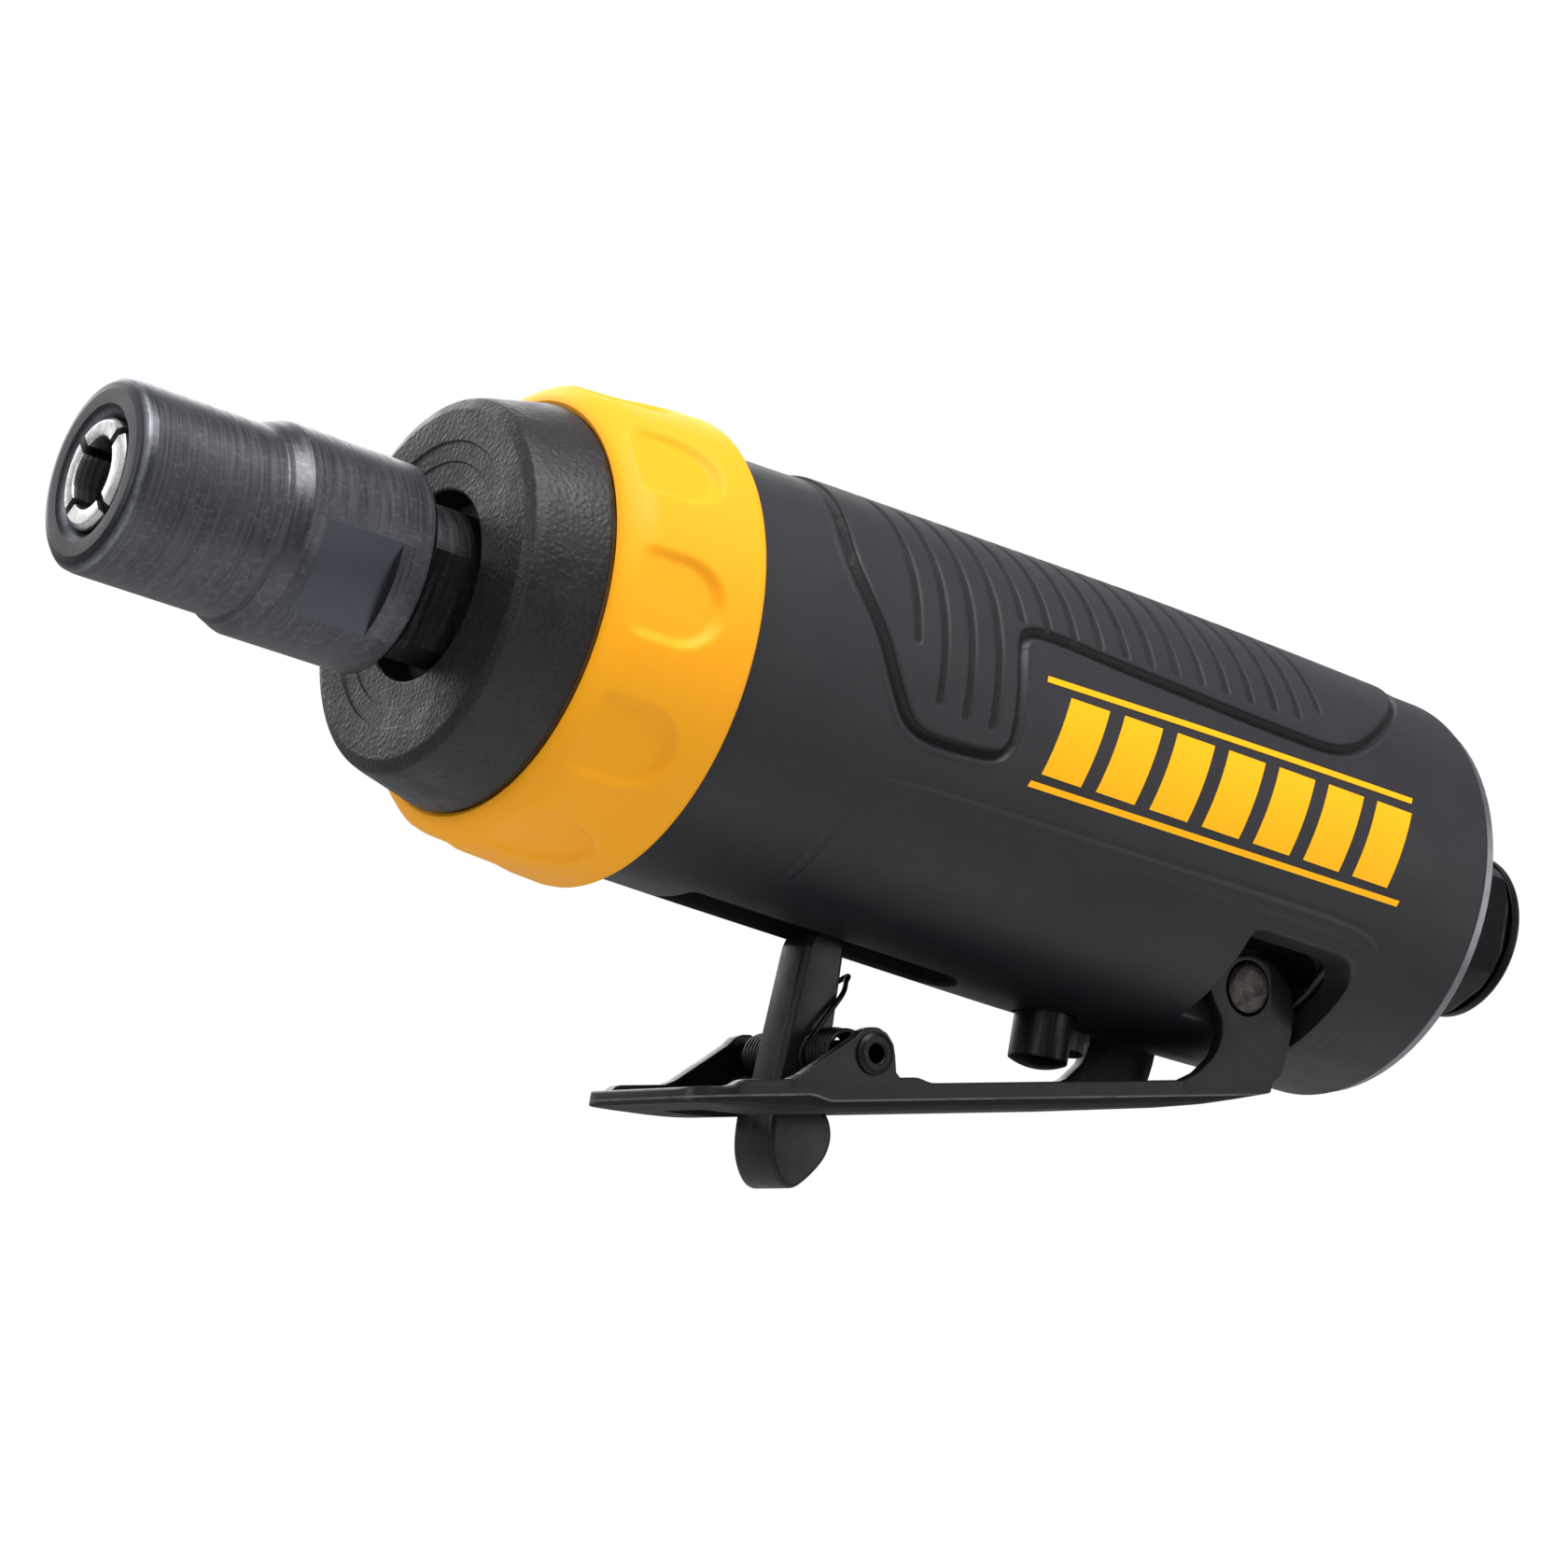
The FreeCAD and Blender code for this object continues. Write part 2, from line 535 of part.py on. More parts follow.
def make_inlet_bushing():
    x1 = INLET_END_X
    corner = INLET_HEX / math.sqrt(3)
    hexagon = [polar(60 * i, corner) + V(HOUSING_REAR_X, 0, 0) for i in range(7)]
    nut = Part.Face(Part.makePolygon(hexagon)).extrude(V(156.4 - HOUSING_REAR_X, 0, 0))
    chamfer = turned([(HOUSING_REAR_X - 1, 0), (HOUSING_REAR_X - 1, corner), (155.4, corner),
                      (156.4, corner - 0.9), (156.4, 0)])
    nut = nut.common(chamfer)
    thread = rod(132.6, HOUSING_REAR_X, INLET_THREAD_RADIUS)
    collar = turned([(156.4, 0), (156.4, 7.9), (157.0, 7.9), (157.0, INLET_COLLAR_RADIUS),
                     (x1 - 0.3, INLET_COLLAR_RADIUS), (x1, INLET_COLLAR_RADIUS - 0.3), (x1, 0)])
    bushing = nut.fuse(thread).fuse(collar).removeSplitter()
    bushing = bushing.cut(rod(x1 - 12.0, x1 + 1, INLET_NPT_RADIUS))
    return bushing.cut(rod(132, x1, INLET_AIR_RADIUS))


def make_inlet_screen():
    screen = rod(INLET_SOCKET_X, INLET_SOCKET_X + 0.6, INLET_THREAD_RADIUS - 0.1)
    pitch = 1.8
    for row in range(-2, 3):
        for column in range(-2, 3):
            if row * row + column * column <= 5:
                hole = rod(INLET_SOCKET_X - 1, INLET_SOCKET_X + 2, 0.6, row * pitch, column * pitch)
                screen = screen.cut(hole)
    return screen


# ---------------------------------------------------------------- lever and safety latch
def plate_top(x):
    return LEVER_KNEE_Z - LEVER_SLOPE * (LEVER_KNEE_X - x)


def along_plate(section, x0, x1):
    """Prism that follows the lever's slope from x0 to x1, from (y, height above plate_top) corners."""
    corners = [V(x0, y, plate_top(x0) + h) for y, h in section]
    face = Part.Face(Part.makePolygon(corners + corners[:1]))
    return face.extrude(V(x1 - x0, 0, LEVER_SLOPE * (x1 - x0)))


def lever_plate():
    """Flat tip, then a dished channel with low side walls and rounded lower edges."""
    w = LEVER_HALF_WIDTH
    inner = w - LEVER_SHEET
    top, bottom = LEVER_DISH_TOP, LEVER_DISH_BOTTOM
    tip = along_plate([(-w, 0), (w, 0), (w, -LEVER_SHEET), (-w, -LEVER_SHEET)],
                      LEVER_FRONT_X, LEVER_TIP_END_X)
    front = [e for e in tip.Edges if e.BoundBox.XMax < LEVER_FRONT_X + 0.5
             and e.BoundBox.YLength < 0.1 and e.BoundBox.ZLength > 0.1]
    tip = tip.makeFillet(LEVER_CORNER, front)
    half = [(inner, 0), (w, 0), (w, -1.5), (w - 0.35, -2.1), (w - 1.0, -2.5), (w - 1.9, bottom)]
    mirrored = [(-y, h) for y, h in reversed(half)]
    dish = along_plate(half + mirrored + [(-inner, top), (inner, top)], LEVER_DISH_X, LEVER_REAR_X)
    plate = tip.fuse(dish)
    for y0, y1 in ((-w, -inner), (inner, w)):
        section = [(y0, -0.4), (y1, -0.4), (y1, LEVER_STEP), (y0, LEVER_STEP)]
        plate = plate.fuse(along_plate(section, LEVER_DISH_X + 1.0, LEVER_STEP_X))
    tail = [(118.5, plate_top(118.5) + bottom), (LEVER_REAR_X + 1, plate_top(LEVER_REAR_X) - 1.3),
            (LEVER_REAR_X + 1, -CUT - 5), (118.5, -CUT - 5)]
    return plate.cut(side_plate(tail, -CUT, CUT))


def make_throttle_lever():
    w = LEVER_HALF_WIDTH
    inner = w - LEVER_SHEET
    ear = [(117.6, plate_top(117.6) - 0.4), (118.6, plate_top(118.6) + 0.9), (120.2, -21.6), (120.6, -19.6),
           (120.2, -17.9), (119.0, -16.6), (118.2, -15.5), (118.6, -13.6), (120.2, -11.9), (122.7, -11.1),
           (125.2, -11.3), (127.2, -12.4), (128.4, -13.9), (128.8, -15.5), (129.0, -17.2), (128.8, -19.8),
           (128.5, -21.6), (LEVER_REAR_X, plate_top(LEVER_REAR_X) - 0.4)]
    perch = [(73.6, plate_top(73.6) - 0.4), (78.9, LATCH_Z + 0.9), (79.6, LATCH_Z + 1.8),
             (80.3, LATCH_Z + 2.2), (LATCH_X, LATCH_Z + 2.4), (82.3, LATCH_Z + 2.1),
             (83.2, LATCH_Z + 1.3), (83.6, LATCH_Z + 0.3), (84.2, plate_top(84.2) - 0.4)]
    lever = lever_plate()
    for y0, y1 in ((-w, -inner), (inner, w)):
        lever = lever.fuse(side_plate(ear, y0, y1))
        lever = lever.fuse(side_plate(perch, y0, y1))
    slot = block(LATCH_SLOT_FRONT_X, LATCH_SLOT_REAR_X, -LATCH_SLOT_HALF_WIDTH,
                 LATCH_SLOT_HALF_WIDTH, -CUT - 20, LATCH_Z - 1.0)
    lever = lever.cut(slot)
    lever = lever.cut(cross_rod(PIVOT_X, PIVOT_Z, -CUT, CUT, PIVOT_PIN_RADIUS + 0.05))
    lever = lever.cut(cross_rod(LATCH_X, LATCH_Z, -CUT, CUT, LATCH_PIN_RADIUS))
    return lever.removeSplitter()


def make_lever_pin():
    reach = LEVER_HALF_WIDTH + 0.35
    pin = cross_rod(PIVOT_X, PIVOT_Z, -reach, reach, PIVOT_PIN_RADIUS)
    ends = [e for e in pin.Edges if e.BoundBox.YLength < 0.01]
    return pin.makeChamfer(0.4, ends)


def make_latch_pin():
    outside = LEVER_HALF_WIDTH
    pin = cross_rod(LATCH_X, LATCH_Z, -outside - 0.5, outside + 0.5, LATCH_PIN_RADIUS)
    for y0 in (-outside - 0.5, outside):
        pin = pin.fuse(cross_rod(LATCH_X, LATCH_Z, y0, y0 + 0.5, 1.95))
    pin = pin.removeSplitter()
    return pin.cut(cross_rod(LATCH_X, LATCH_Z, -CUT, CUT, LATCH_PIN_BORE))


def make_safety_latch():
    post_side = [(76.8, -36.0), (77.8, -21.0), (78.2, -19.9), (79.0, LATCH_TOP_Z),
                 (81.2, LATCH_TOP_Z), (81.9, -19.6), (82.2, -20.6), (82.5, -28.0), (82.5, -36.0)]
    tab_side = [(76.8, -35.3), (82.5, -35.3), (83.3, -36.4), (83.7, -37.7), (83.5, -39.2),
                (82.8, -40.5), (81.6, -42.0), (80.5, -43.0), (79.3, -43.1), (78.2, -42.3),
                (77.3, -40.8), (76.9, -39.2)]
    latch = side_plate(post_side, -LATCH_POST_HALF_WIDTH, LATCH_POST_HALF_WIDTH)
    latch = latch.fuse(side_plate(tab_side, -LATCH_TAB_HALF_WIDTH, LATCH_TAB_HALF_WIDTH))
    boss = cross_rod(LATCH_X, LATCH_Z, -LATCH_POST_HALF_WIDTH, LATCH_POST_HALF_WIDTH, 2.3)
    latch = latch.fuse(boss)
    bore = cross_rod(LATCH_X, LATCH_Z, -CUT, CUT, LATCH_PIN_RADIUS + THREAD_CLEARANCE)
    return latch.cut(bore).removeSplitter()


def make_latch_spring():
    """Double torsion spring: two coils on the pin, joined by a hook behind the post."""
    wire = LATCH_SPRING_WIRE
    hook_x, hook_z = LATCH_SPRING_HOOK
    shapes = []
    for side in (-1, 1):
        y0, y1 = sorted((side * 2.7, side * 6.6))
        coil = cross_rod(LATCH_X, LATCH_Z, y0, y1, 2.5)
        shapes.append(coil.cut(cross_rod(LATCH_X, LATCH_Z, y0 - 1, y1 + 1, 1.7)))
        foot = V(LATCH_X - 1.5, side * 2.95, LATCH_Z + 1.5)
        top = V(hook_x, side * 2.95, hook_z)
        leg = top - foot
        shapes.append(Part.makeCylinder(wire, leg.Length, foot, leg))
        heel = V(LATCH_X, side * 6.2, LATCH_Z - 2.0)
        shapes.append(Part.makeCylinder(wire, 3.8, heel, V(-0.9715, 0, -0.2366)))
    shapes.append(cross_rod(hook_x, hook_z, -2.95, 2.95, wire))
    spring = shapes[0]
    for shape in shapes[1:]:
        spring = spring.fuse(shape)
    return spring.removeSplitter()


# ---------------------------------------------------------------- small rings
def make_small_rings():
    return {
        "wave_washer": tube(CAP_REAR_X + 0.3, FRONT_BEARING["x0"], 9.4, 10.9),
        "spindle_felt_seal": tube(36.7, 38.4, SPINDLE_NECK_RADIUS + 0.08, 9.9),
        "ring_friction_o_ring": tube(51.2, 52.6, HOUSING_NECK_RADIUS - 0.8, HOUSING_NECK_RADIUS),
        "exhaust_felt": tube(45.8, 48.8, HOUSING_NECK_RADIUS, 19.3),
        "rear_gasket": tube(REAR_PLATE_END_X, MOTOR_BORE_END_X, 10.5, MOTOR_BORE_RADIUS).cut(air_ports()),
        "inlet_o_ring": tube(INLET_SOCKET_X + 0.6, 132.6, 6.6, INLET_THREAD_RADIUS),
    }


def build_nodes():
    nodes = {
        "collet": make_collet(),
        "collet_nut": make_collet_nut(),
        "collet_body": make_collet_body(),
        "rotor": make_rotor(),
        "rotor_vanes": make_rotor_vanes(),
        "cylinder_liner": make_cylinder_liner(),
        "front_end_plate": make_front_end_plate(),
        "rear_end_plate": make_rear_end_plate(),
        "dowel_pins": make_dowel_pins(),
        "front_cap": make_front_cap(),
        "exhaust_ring": make_exhaust_ring(),
        "motor_housing": make_motor_housing(),
        "grip_sleeve": make_grip_sleeve(),
        "valve_bushing": make_valve_bushing(),
        "bushing_seal": make_bushing_seal(),
        "throttle_plunger": make_throttle_plunger(),
        "throttle_poppet": make_throttle_poppet(),
        "poppet_seal": make_poppet_seal(),
        "valve_seat": make_valve_seat(),
        "valve_spring": make_valve_spring(),
        "regulator_stem": make_regulator_stem(),
        "regulator_seal": make_regulator_seal(),
        "inlet_bushing": make_inlet_bushing(),
        "inlet_screen": make_inlet_screen(),
        "throttle_lever": make_throttle_lever(),
        "lever_pin": make_lever_pin(),
        "latch_pin": make_latch_pin(),
        "safety_latch": make_safety_latch(),
        "latch_spring": make_latch_spring(),
    }
    for name, spec in (("front", FRONT_BEARING), ("rear", REAR_BEARING)):
        outer, inner, balls, cage = bearing_parts(spec)
        nodes[name + "_bearing_outer_race"] = outer
        nodes[name + "_bearing_inner_race"] = inner
        nodes[name + "_bearing_balls"] = balls
        nodes[name + "_bearing_cage"] = cage
    nodes.update(make_small_rings())
    # The dowel pins lie in the liner and the front plate, and the seals in their grooves.
    nodes["cylinder_liner"] = nodes["cylinder_liner"].cut(nodes["dowel_pins"])
    nodes["front_end_plate"] = nodes["front_end_plate"].cut(nodes["dowel_pins"])
    nodes["motor_housing"] = nodes["motor_housing"].cut(nodes["ring_friction_o_ring"])
    return nodes


os.makedirs("parts", exist_ok=True)
for node_name, node_shape in build_nodes().items():
    state = "ok" if node_shape.isValid() else "INVALID"
    print(node_name, state, len(node_shape.Solids), round(node_shape.Volume, 1))
    node_shape.exportStep("parts/" + node_name + ".step")
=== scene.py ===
import json
import math

import bmesh
import bpy
import numpy as np
from mathutils import Matrix, Vector


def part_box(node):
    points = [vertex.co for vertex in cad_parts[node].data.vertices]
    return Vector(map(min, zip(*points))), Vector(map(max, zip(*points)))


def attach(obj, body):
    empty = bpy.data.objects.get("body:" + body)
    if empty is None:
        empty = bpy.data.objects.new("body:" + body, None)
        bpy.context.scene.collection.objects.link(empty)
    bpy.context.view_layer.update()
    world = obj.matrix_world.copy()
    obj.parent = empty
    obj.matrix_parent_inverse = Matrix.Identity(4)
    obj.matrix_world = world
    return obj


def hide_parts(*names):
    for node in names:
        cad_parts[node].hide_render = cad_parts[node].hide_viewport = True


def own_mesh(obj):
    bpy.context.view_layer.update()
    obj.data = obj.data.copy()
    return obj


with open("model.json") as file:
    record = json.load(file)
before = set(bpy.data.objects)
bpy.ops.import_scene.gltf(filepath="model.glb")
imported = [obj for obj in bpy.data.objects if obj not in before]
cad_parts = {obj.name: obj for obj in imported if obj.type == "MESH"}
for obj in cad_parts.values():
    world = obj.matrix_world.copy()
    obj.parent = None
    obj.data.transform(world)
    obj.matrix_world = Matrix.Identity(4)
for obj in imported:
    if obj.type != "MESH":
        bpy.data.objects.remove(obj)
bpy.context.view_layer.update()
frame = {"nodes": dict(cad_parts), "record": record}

MM = 0.001
PIVOT = (122.9, -14.35)
LATCH = (81.2, -30.6)
VALVE_X = 107.5
SLOPE = 0.2435                   # fall of the lever per millimetre towards its tip
KNEE = (119.3, -24.1)            # point that the lever's plate line passes through
HALF = 10.5                      # half the lever's width
SHEET = 1.4                      # thickness of its sheet
FLAT = math.radians(115.5)       # turn of the nose's wrench flats about the spindle
NUT_FLATS = (17.5, 25.0, 8.5)    # x from, x to, half the distance across
GRIP_FRONT, GRIP_REAR = 54.4, 142.3
GRIP_BORE = 17.25
POCKET_HALF = 8.7                # half the metal left between the two pockets for the lever's ears
PLUNGER_HOLE = 3.15
STEM_PLACE = (113.6, 4.2, 2.05)  # x, y and hole radius of the speed screw
PIN_HOLE = 2.45
HEX_FLATS = 16.4
FAR = 30.0                       # beyond any surface, for cutters


# ---- mesh building
def linked(name, data):
    """Object in the scene for a mesh, curve, light or camera."""
    obj = bpy.data.objects.new(name, data)
    bpy.context.scene.collection.objects.link(obj)
    return obj


def smooth(obj, angle=38.0):
    """Shades smooth, with edges sharper than angle kept crisp."""
    mesh = obj.data
    mesh.polygons.foreach_set("use_smooth", [True] * len(mesh.polygons))
    mesh.set_sharp_from_angle(angle=math.radians(angle))
    return obj


def new_object(name, verts, faces, angle=38.0):
    """Mesh object from millimetre points."""
    mesh = bpy.data.meshes.new(name)
    points = np.asarray(verts, dtype=float) * MM
    mesh.from_pydata(points.tolist(), [], faces)
    mesh.validate()
    return smooth(linked(name, mesh), angle)


def tidy(obj, merge=0.0002, angle=38.0):
    """Weld doubles, face outwards, shade."""
    bm = bmesh.new()
    bm.from_mesh(obj.data)
    bmesh.ops.remove_doubles(bm, verts=bm.verts, dist=merge * MM)
    bmesh.ops.recalc_face_normals(bm, faces=bm.faces)
    if bm.calc_volume(signed=True) < 0:
        bmesh.ops.reverse_faces(bm, faces=bm.faces)
    bm.to_mesh(obj.data)
    bm.free()
    return smooth(obj, angle)


def evaluated(obj):
    """Mesh that an object has after its modifiers or curve settings."""
    return bpy.data.meshes.new_from_object(obj.evaluated_get(bpy.context.evaluated_depsgraph_get()))


def applied(obj, angle):
    """Makes the modifiers permanent."""
    mesh = evaluated(obj)
    obj.modifiers.clear()
    obj.data = mesh
    return smooth(obj, angle)


def cut(obj, *cutters, solver="EXACT", angle=38.0, operation="DIFFERENCE"):
    for cutter in cutters:
        mod = obj.modifiers.new("cut", "BOOLEAN")
        mod.object = cutter
        mod.operation = operation
        mod.solver = solver
    applied(obj, angle)
    for cutter in cutters:
        bpy.data.objects.remove(cutter)
    return obj


def bevelled(obj, width, segments, limit, angle=38.0):
    mod = obj.modifiers.new("bevel", "BEVEL")
    mod.width = width * MM
    mod.segments = segments
    mod.limit_method = "ANGLE"
    mod.angle_limit = math.radians(limit)
    mod.miter_outer = "MITER_ARC"
    return applied(obj, angle)


def join(objs, name):
    base = objs[0]
    bm = bmesh.new()
    for o in objs:
        bm.from_mesh(o.data)
    mesh = bpy.data.meshes.new(name)
    bm.to_mesh(mesh)
    bm.free()
    for o in objs[1:]:
        bpy.data.objects.remove(o)
    base.data = mesh
    base.name = name
    return smooth(base)


def rounded(points, steps=6, closed=True):
    """Corners of (a, b, radius) turned into a smooth outline of (a, b)."""
    out = []
    count = len(points)
    for i, p in enumerate(points):
        here = Vector(p[:2])
        radius = p[2] if len(p) > 2 else 0.0
        if radius <= 0 or (not closed and i in (0, count - 1)):
            out.append((here.x, here.y))
            continue
        before = Vector(points[i - 1][:2]) - here
        after = Vector(points[(i + 1) % count][:2]) - here
        a, b = before.normalized(), after.normalized()
        half = math.acos(max(-1.0, min(1.0, a.dot(b)))) / 2
        reach = min(radius / max(math.tan(half), 1e-6), before.length * 0.49, after.length * 0.49)
        true_radius = reach * math.tan(half)
        centre = here + (a + b).normalized() * (true_radius / math.sin(half))
        start = here + a * reach - centre
        end = here + b * reach - centre
        turn = math.atan2(start.x * end.y - start.y * end.x, start.dot(end))
        for k in range(steps + 1):
            t = turn * k / steps
            c, s = math.cos(t), math.sin(t)
            out.append((centre.x + start.x * c - start.y * s, centre.y + start.x * s + start.y * c))
    return out


def ring_skin(name, rings, theta, angle=38.0):
    """Closed skin through rings of (x, radii), the last joined to the first. theta runs from +Z towards -Y."""
    segments = len(theta)
    verts, faces = [], []
    index = np.arange(segments)
    after = (index + 1) % segments
    for i, (x, radii) in enumerate(rings):
        verts.append(np.stack([np.full(segments, x), -radii * np.sin(theta), radii * np.cos(theta)], axis=1))
        a, b = i * segments, ((i + 1) % len(rings)) * segments
        faces.extend(np.stack([a + index, b + index, b + after, a + after], axis=1).tolist())
    return new_object(name, np.concatenate(verts), faces, angle)


def lathe(name, profile, segments, angle=38.0, radius_of=None):
    """Closed profile of (x, r) turned about the spindle axis. radius_of(x, r, theta) may reshape it."""
    theta = np.linspace(0, 2 * math.pi, segments, endpoint=False)
    rings = [(x, np.full(segments, r) if radius_of is None else radius_of(x, r, theta)) for x, r in profile]
    return tidy(ring_skin(name, rings, theta, angle), 0.002, angle)


def rod_cutter(name, radius, end=FAR, segments=64):
    return lathe(name, [(-FAR, 0.0), (-FAR, radius), (end, radius), (end, 0.0)], segments)


def stand(obj, x, y, axis="Z"):
    """Turns a lathed piece so that its axis runs up (Z) or across (Y) through a point, in millimetres."""
    if axis == "Z":
        turn = Matrix.Rotation(-math.pi / 2, 4, "Y")
        place = Matrix.Translation(Vector((x, y, 0)) * MM)
    else:
        turn = Matrix.Rotation(math.pi / 2, 4, "Z")
        place = Matrix.Translation(Vector((x, 0, y)) * MM)
    obj.data.transform(place @ turn)
    return obj


def turned(obj, angle):
    """Turns an object about the spindle axis."""
    obj.data.transform(Matrix.Rotation(angle, 4, "X"))
    return obj


def two_ended(name, first, second):
    """Solid between two outlines with the same number of points."""
    n = len(first)
    faces = [tuple(range(n)), tuple(range(2 * n - 1, n - 1, -1))]
    faces += [(i, (i + 1) % n, n + (i + 1) % n, n + i) for i in range(n)]
    return tidy(new_object(name, first + second, faces))


def prism(name, outline, y0, y1):
    """Side-view outline of (x, z) between two places along Y."""
    return two_ended(name, [(x, y0, z) for x, z in outline], [(x, y1, z) for x, z in outline])


def plan_prism(name, outline, z0, z1):
    """Outline of (x, y) seen from above, between two heights."""
    return two_ended(name, [(x, y, z1) for x, y in outline], [(x, y, z0) for x, y in outline])


def wire(name, points, radius, resolution):
    """Round wire along a smooth path through millimetre points."""
    curve = bpy.data.curves.new(name, "CURVE")
    curve.dimensions = "3D"
    curve.bevel_depth = radius * MM
    curve.bevel_resolution = 4
    curve.use_fill_caps = True
    curve.resolution_u = resolution
    spline = curve.splines.new("NURBS")
    spline.points.add(len(points) - 1)
    for p, q in zip(spline.points, points):
        p.co = (q[0] * MM, q[1] * MM, q[2] * MM, 1.0)
    spline.order_u = 4
    spline.use_endpoint_u = True
    holder = linked(name, curve)
    mesh = evaluated(holder)
    bpy.data.objects.remove(holder)
    return tidy(linked(name, mesh), 0.001, 50.0)


# ---- shader building
class Paint:
    """A principled material built up from procedural masks in object space."""

    def __init__(self, name, colour, roughness, metallic=0.0, specular=0.5, coat=0.0, coat_rough=0.1):
        self.material = bpy.data.materials.new(name)
        self.material.use_nodes = True
        self.tree = self.material.node_tree
        self.bsdf = self.tree.nodes["Principled BSDF"]
        self.set(self.bsdf, {"Base Color": (*colour, 1), "Roughness": roughness, "Metallic": metallic,
                             "Specular IOR Level": specular, "Coat Weight": coat, "Coat Roughness": coat_rough})
        self.coord = self.node("ShaderNodeTexCoord").outputs["Object"]
        self.normal = None

    def node(self, kind, **settings):
        made = self.tree.nodes.new(kind)
        for key, value in settings.items():
            setattr(made, key, value)
        return made

    @staticmethod
    def set(node, values):
        for socket, value in values.items():
            node.inputs[socket].default_value = value

    def link(self, source, target):
        self.tree.links.new(source, target)

    def feed(self, value, socket):
        if hasattr(value, "links"):
            self.link(value, socket)
        else:
            socket.default_value = value

    def math(self, operation, a, b=0.0, c=None):
        made = self.node("ShaderNodeMath", operation=operation)
        self.feed(a, made.inputs[0])
        self.feed(b, made.inputs[1])
        if c is not None:
            self.feed(c, made.inputs[2])
        return made.outputs[0]

    def noise(self, size, detail, rough=0.55, stretch=(1, 1, 1), distortion=0.0):
        """Noise with features of that size in millimetres."""
        mapping = self.node("ShaderNodeMapping")
        self.link(self.coord, mapping.inputs["Vector"])
        mapping.inputs["Scale"].default_value = stretch
        made = self.node("ShaderNodeTexNoise")
        self.link(mapping.outputs[0], made.inputs["Vector"])
        self.set(made, {"Scale": 1000.0 / size, "Detail": detail, "Roughness": rough, "Distortion": distortion})
        return made.outputs["Fac"]

    def cells(self, size):
        """Rounded cells of that size in millimetres."""
        made = self.node("ShaderNodeTexVoronoi", feature="SMOOTH_F1")
        self.link(self.coord, made.inputs["Vector"])
        made.inputs["Scale"].default_value = 1000.0 / size
        return made.outputs["Distance"]

    def ramp(self, value, low, high, a=0.0, b=1.0):
        """Smooth step of value from low to high, giving a to b."""
        made = self.node("ShaderNodeMapRange", interpolation_type="SMOOTHSTEP")
        self.feed(value, made.inputs["Value"])
        self.set(made, {"From Min": low, "From Max": high, "To Min": a, "To Max": b})
        return made.outputs[0]

    def axis(self, which):
        """One coordinate in millimetres."""
        split = self.node("ShaderNodeSeparateXYZ")
        self.link(self.coord, split.inputs[0])
        return self.math("MULTIPLY", split.outputs[which], 1000.0)

    def radius(self):
        """Distance from the spindle axis in millimetres."""
        y, z = self.axis(1), self.axis(2)
        return self.math("SQRT", self.math("MULTIPLY_ADD", y, y, self.math("MULTIPLY", z, z)))

    def band(self, value, centre, half):
        """1 at centre, fading to 0 at half away."""
        away = self.math("ABSOLUTE", self.math("SUBTRACT", value, centre))
        return self.ramp(away, 0.0, half, 1.0, 0.0)

    def colour(self, mask, tint):
        """Mixes the base colour towards tint by mask."""
        mix = self.node("ShaderNodeMix", data_type="RGBA")
        self.feed(mask, mix.inputs["Factor"])
        socket = self.bsdf.inputs["Base Color"]
        if socket.links:
            self.link(socket.links[0].from_socket, mix.inputs[6])
        else:
            mix.inputs[6].default_value = socket.default_value
        mix.inputs[7].default_value = (*tint, 1)
        self.link(mix.outputs[2], socket)

    def blotch(self, size, detail, low, high, amount, tint, rough=0.55):
        """Tints noise patches of that size, by up to amount."""
        self.colour(self.ramp(self.noise(size, detail, rough), low, high, 0.0, amount), tint)

    def rough(self, value):
        self.link(value, self.bsdf.inputs["Roughness"])

    def rough_noise(self, size, detail, low, high):
        self.rough(self.ramp(self.noise(size, detail), 0.3, 0.7, low, high))

    def bump(self, height, distance, strength):
        """Bump of that height in millimetres."""
        made = self.node("ShaderNodeBump")
        self.link(height, made.inputs["Height"])
        self.set(made, {"Distance": distance * MM, "Strength": strength})
        if self.normal is not None:
            self.link(self.normal, made.inputs["Normal"])
        self.normal = made.outputs[0]
        self.link(self.normal, self.bsdf.inputs["Normal"])


def shade(colour, factor):
    return tuple(c * factor for c in colour)


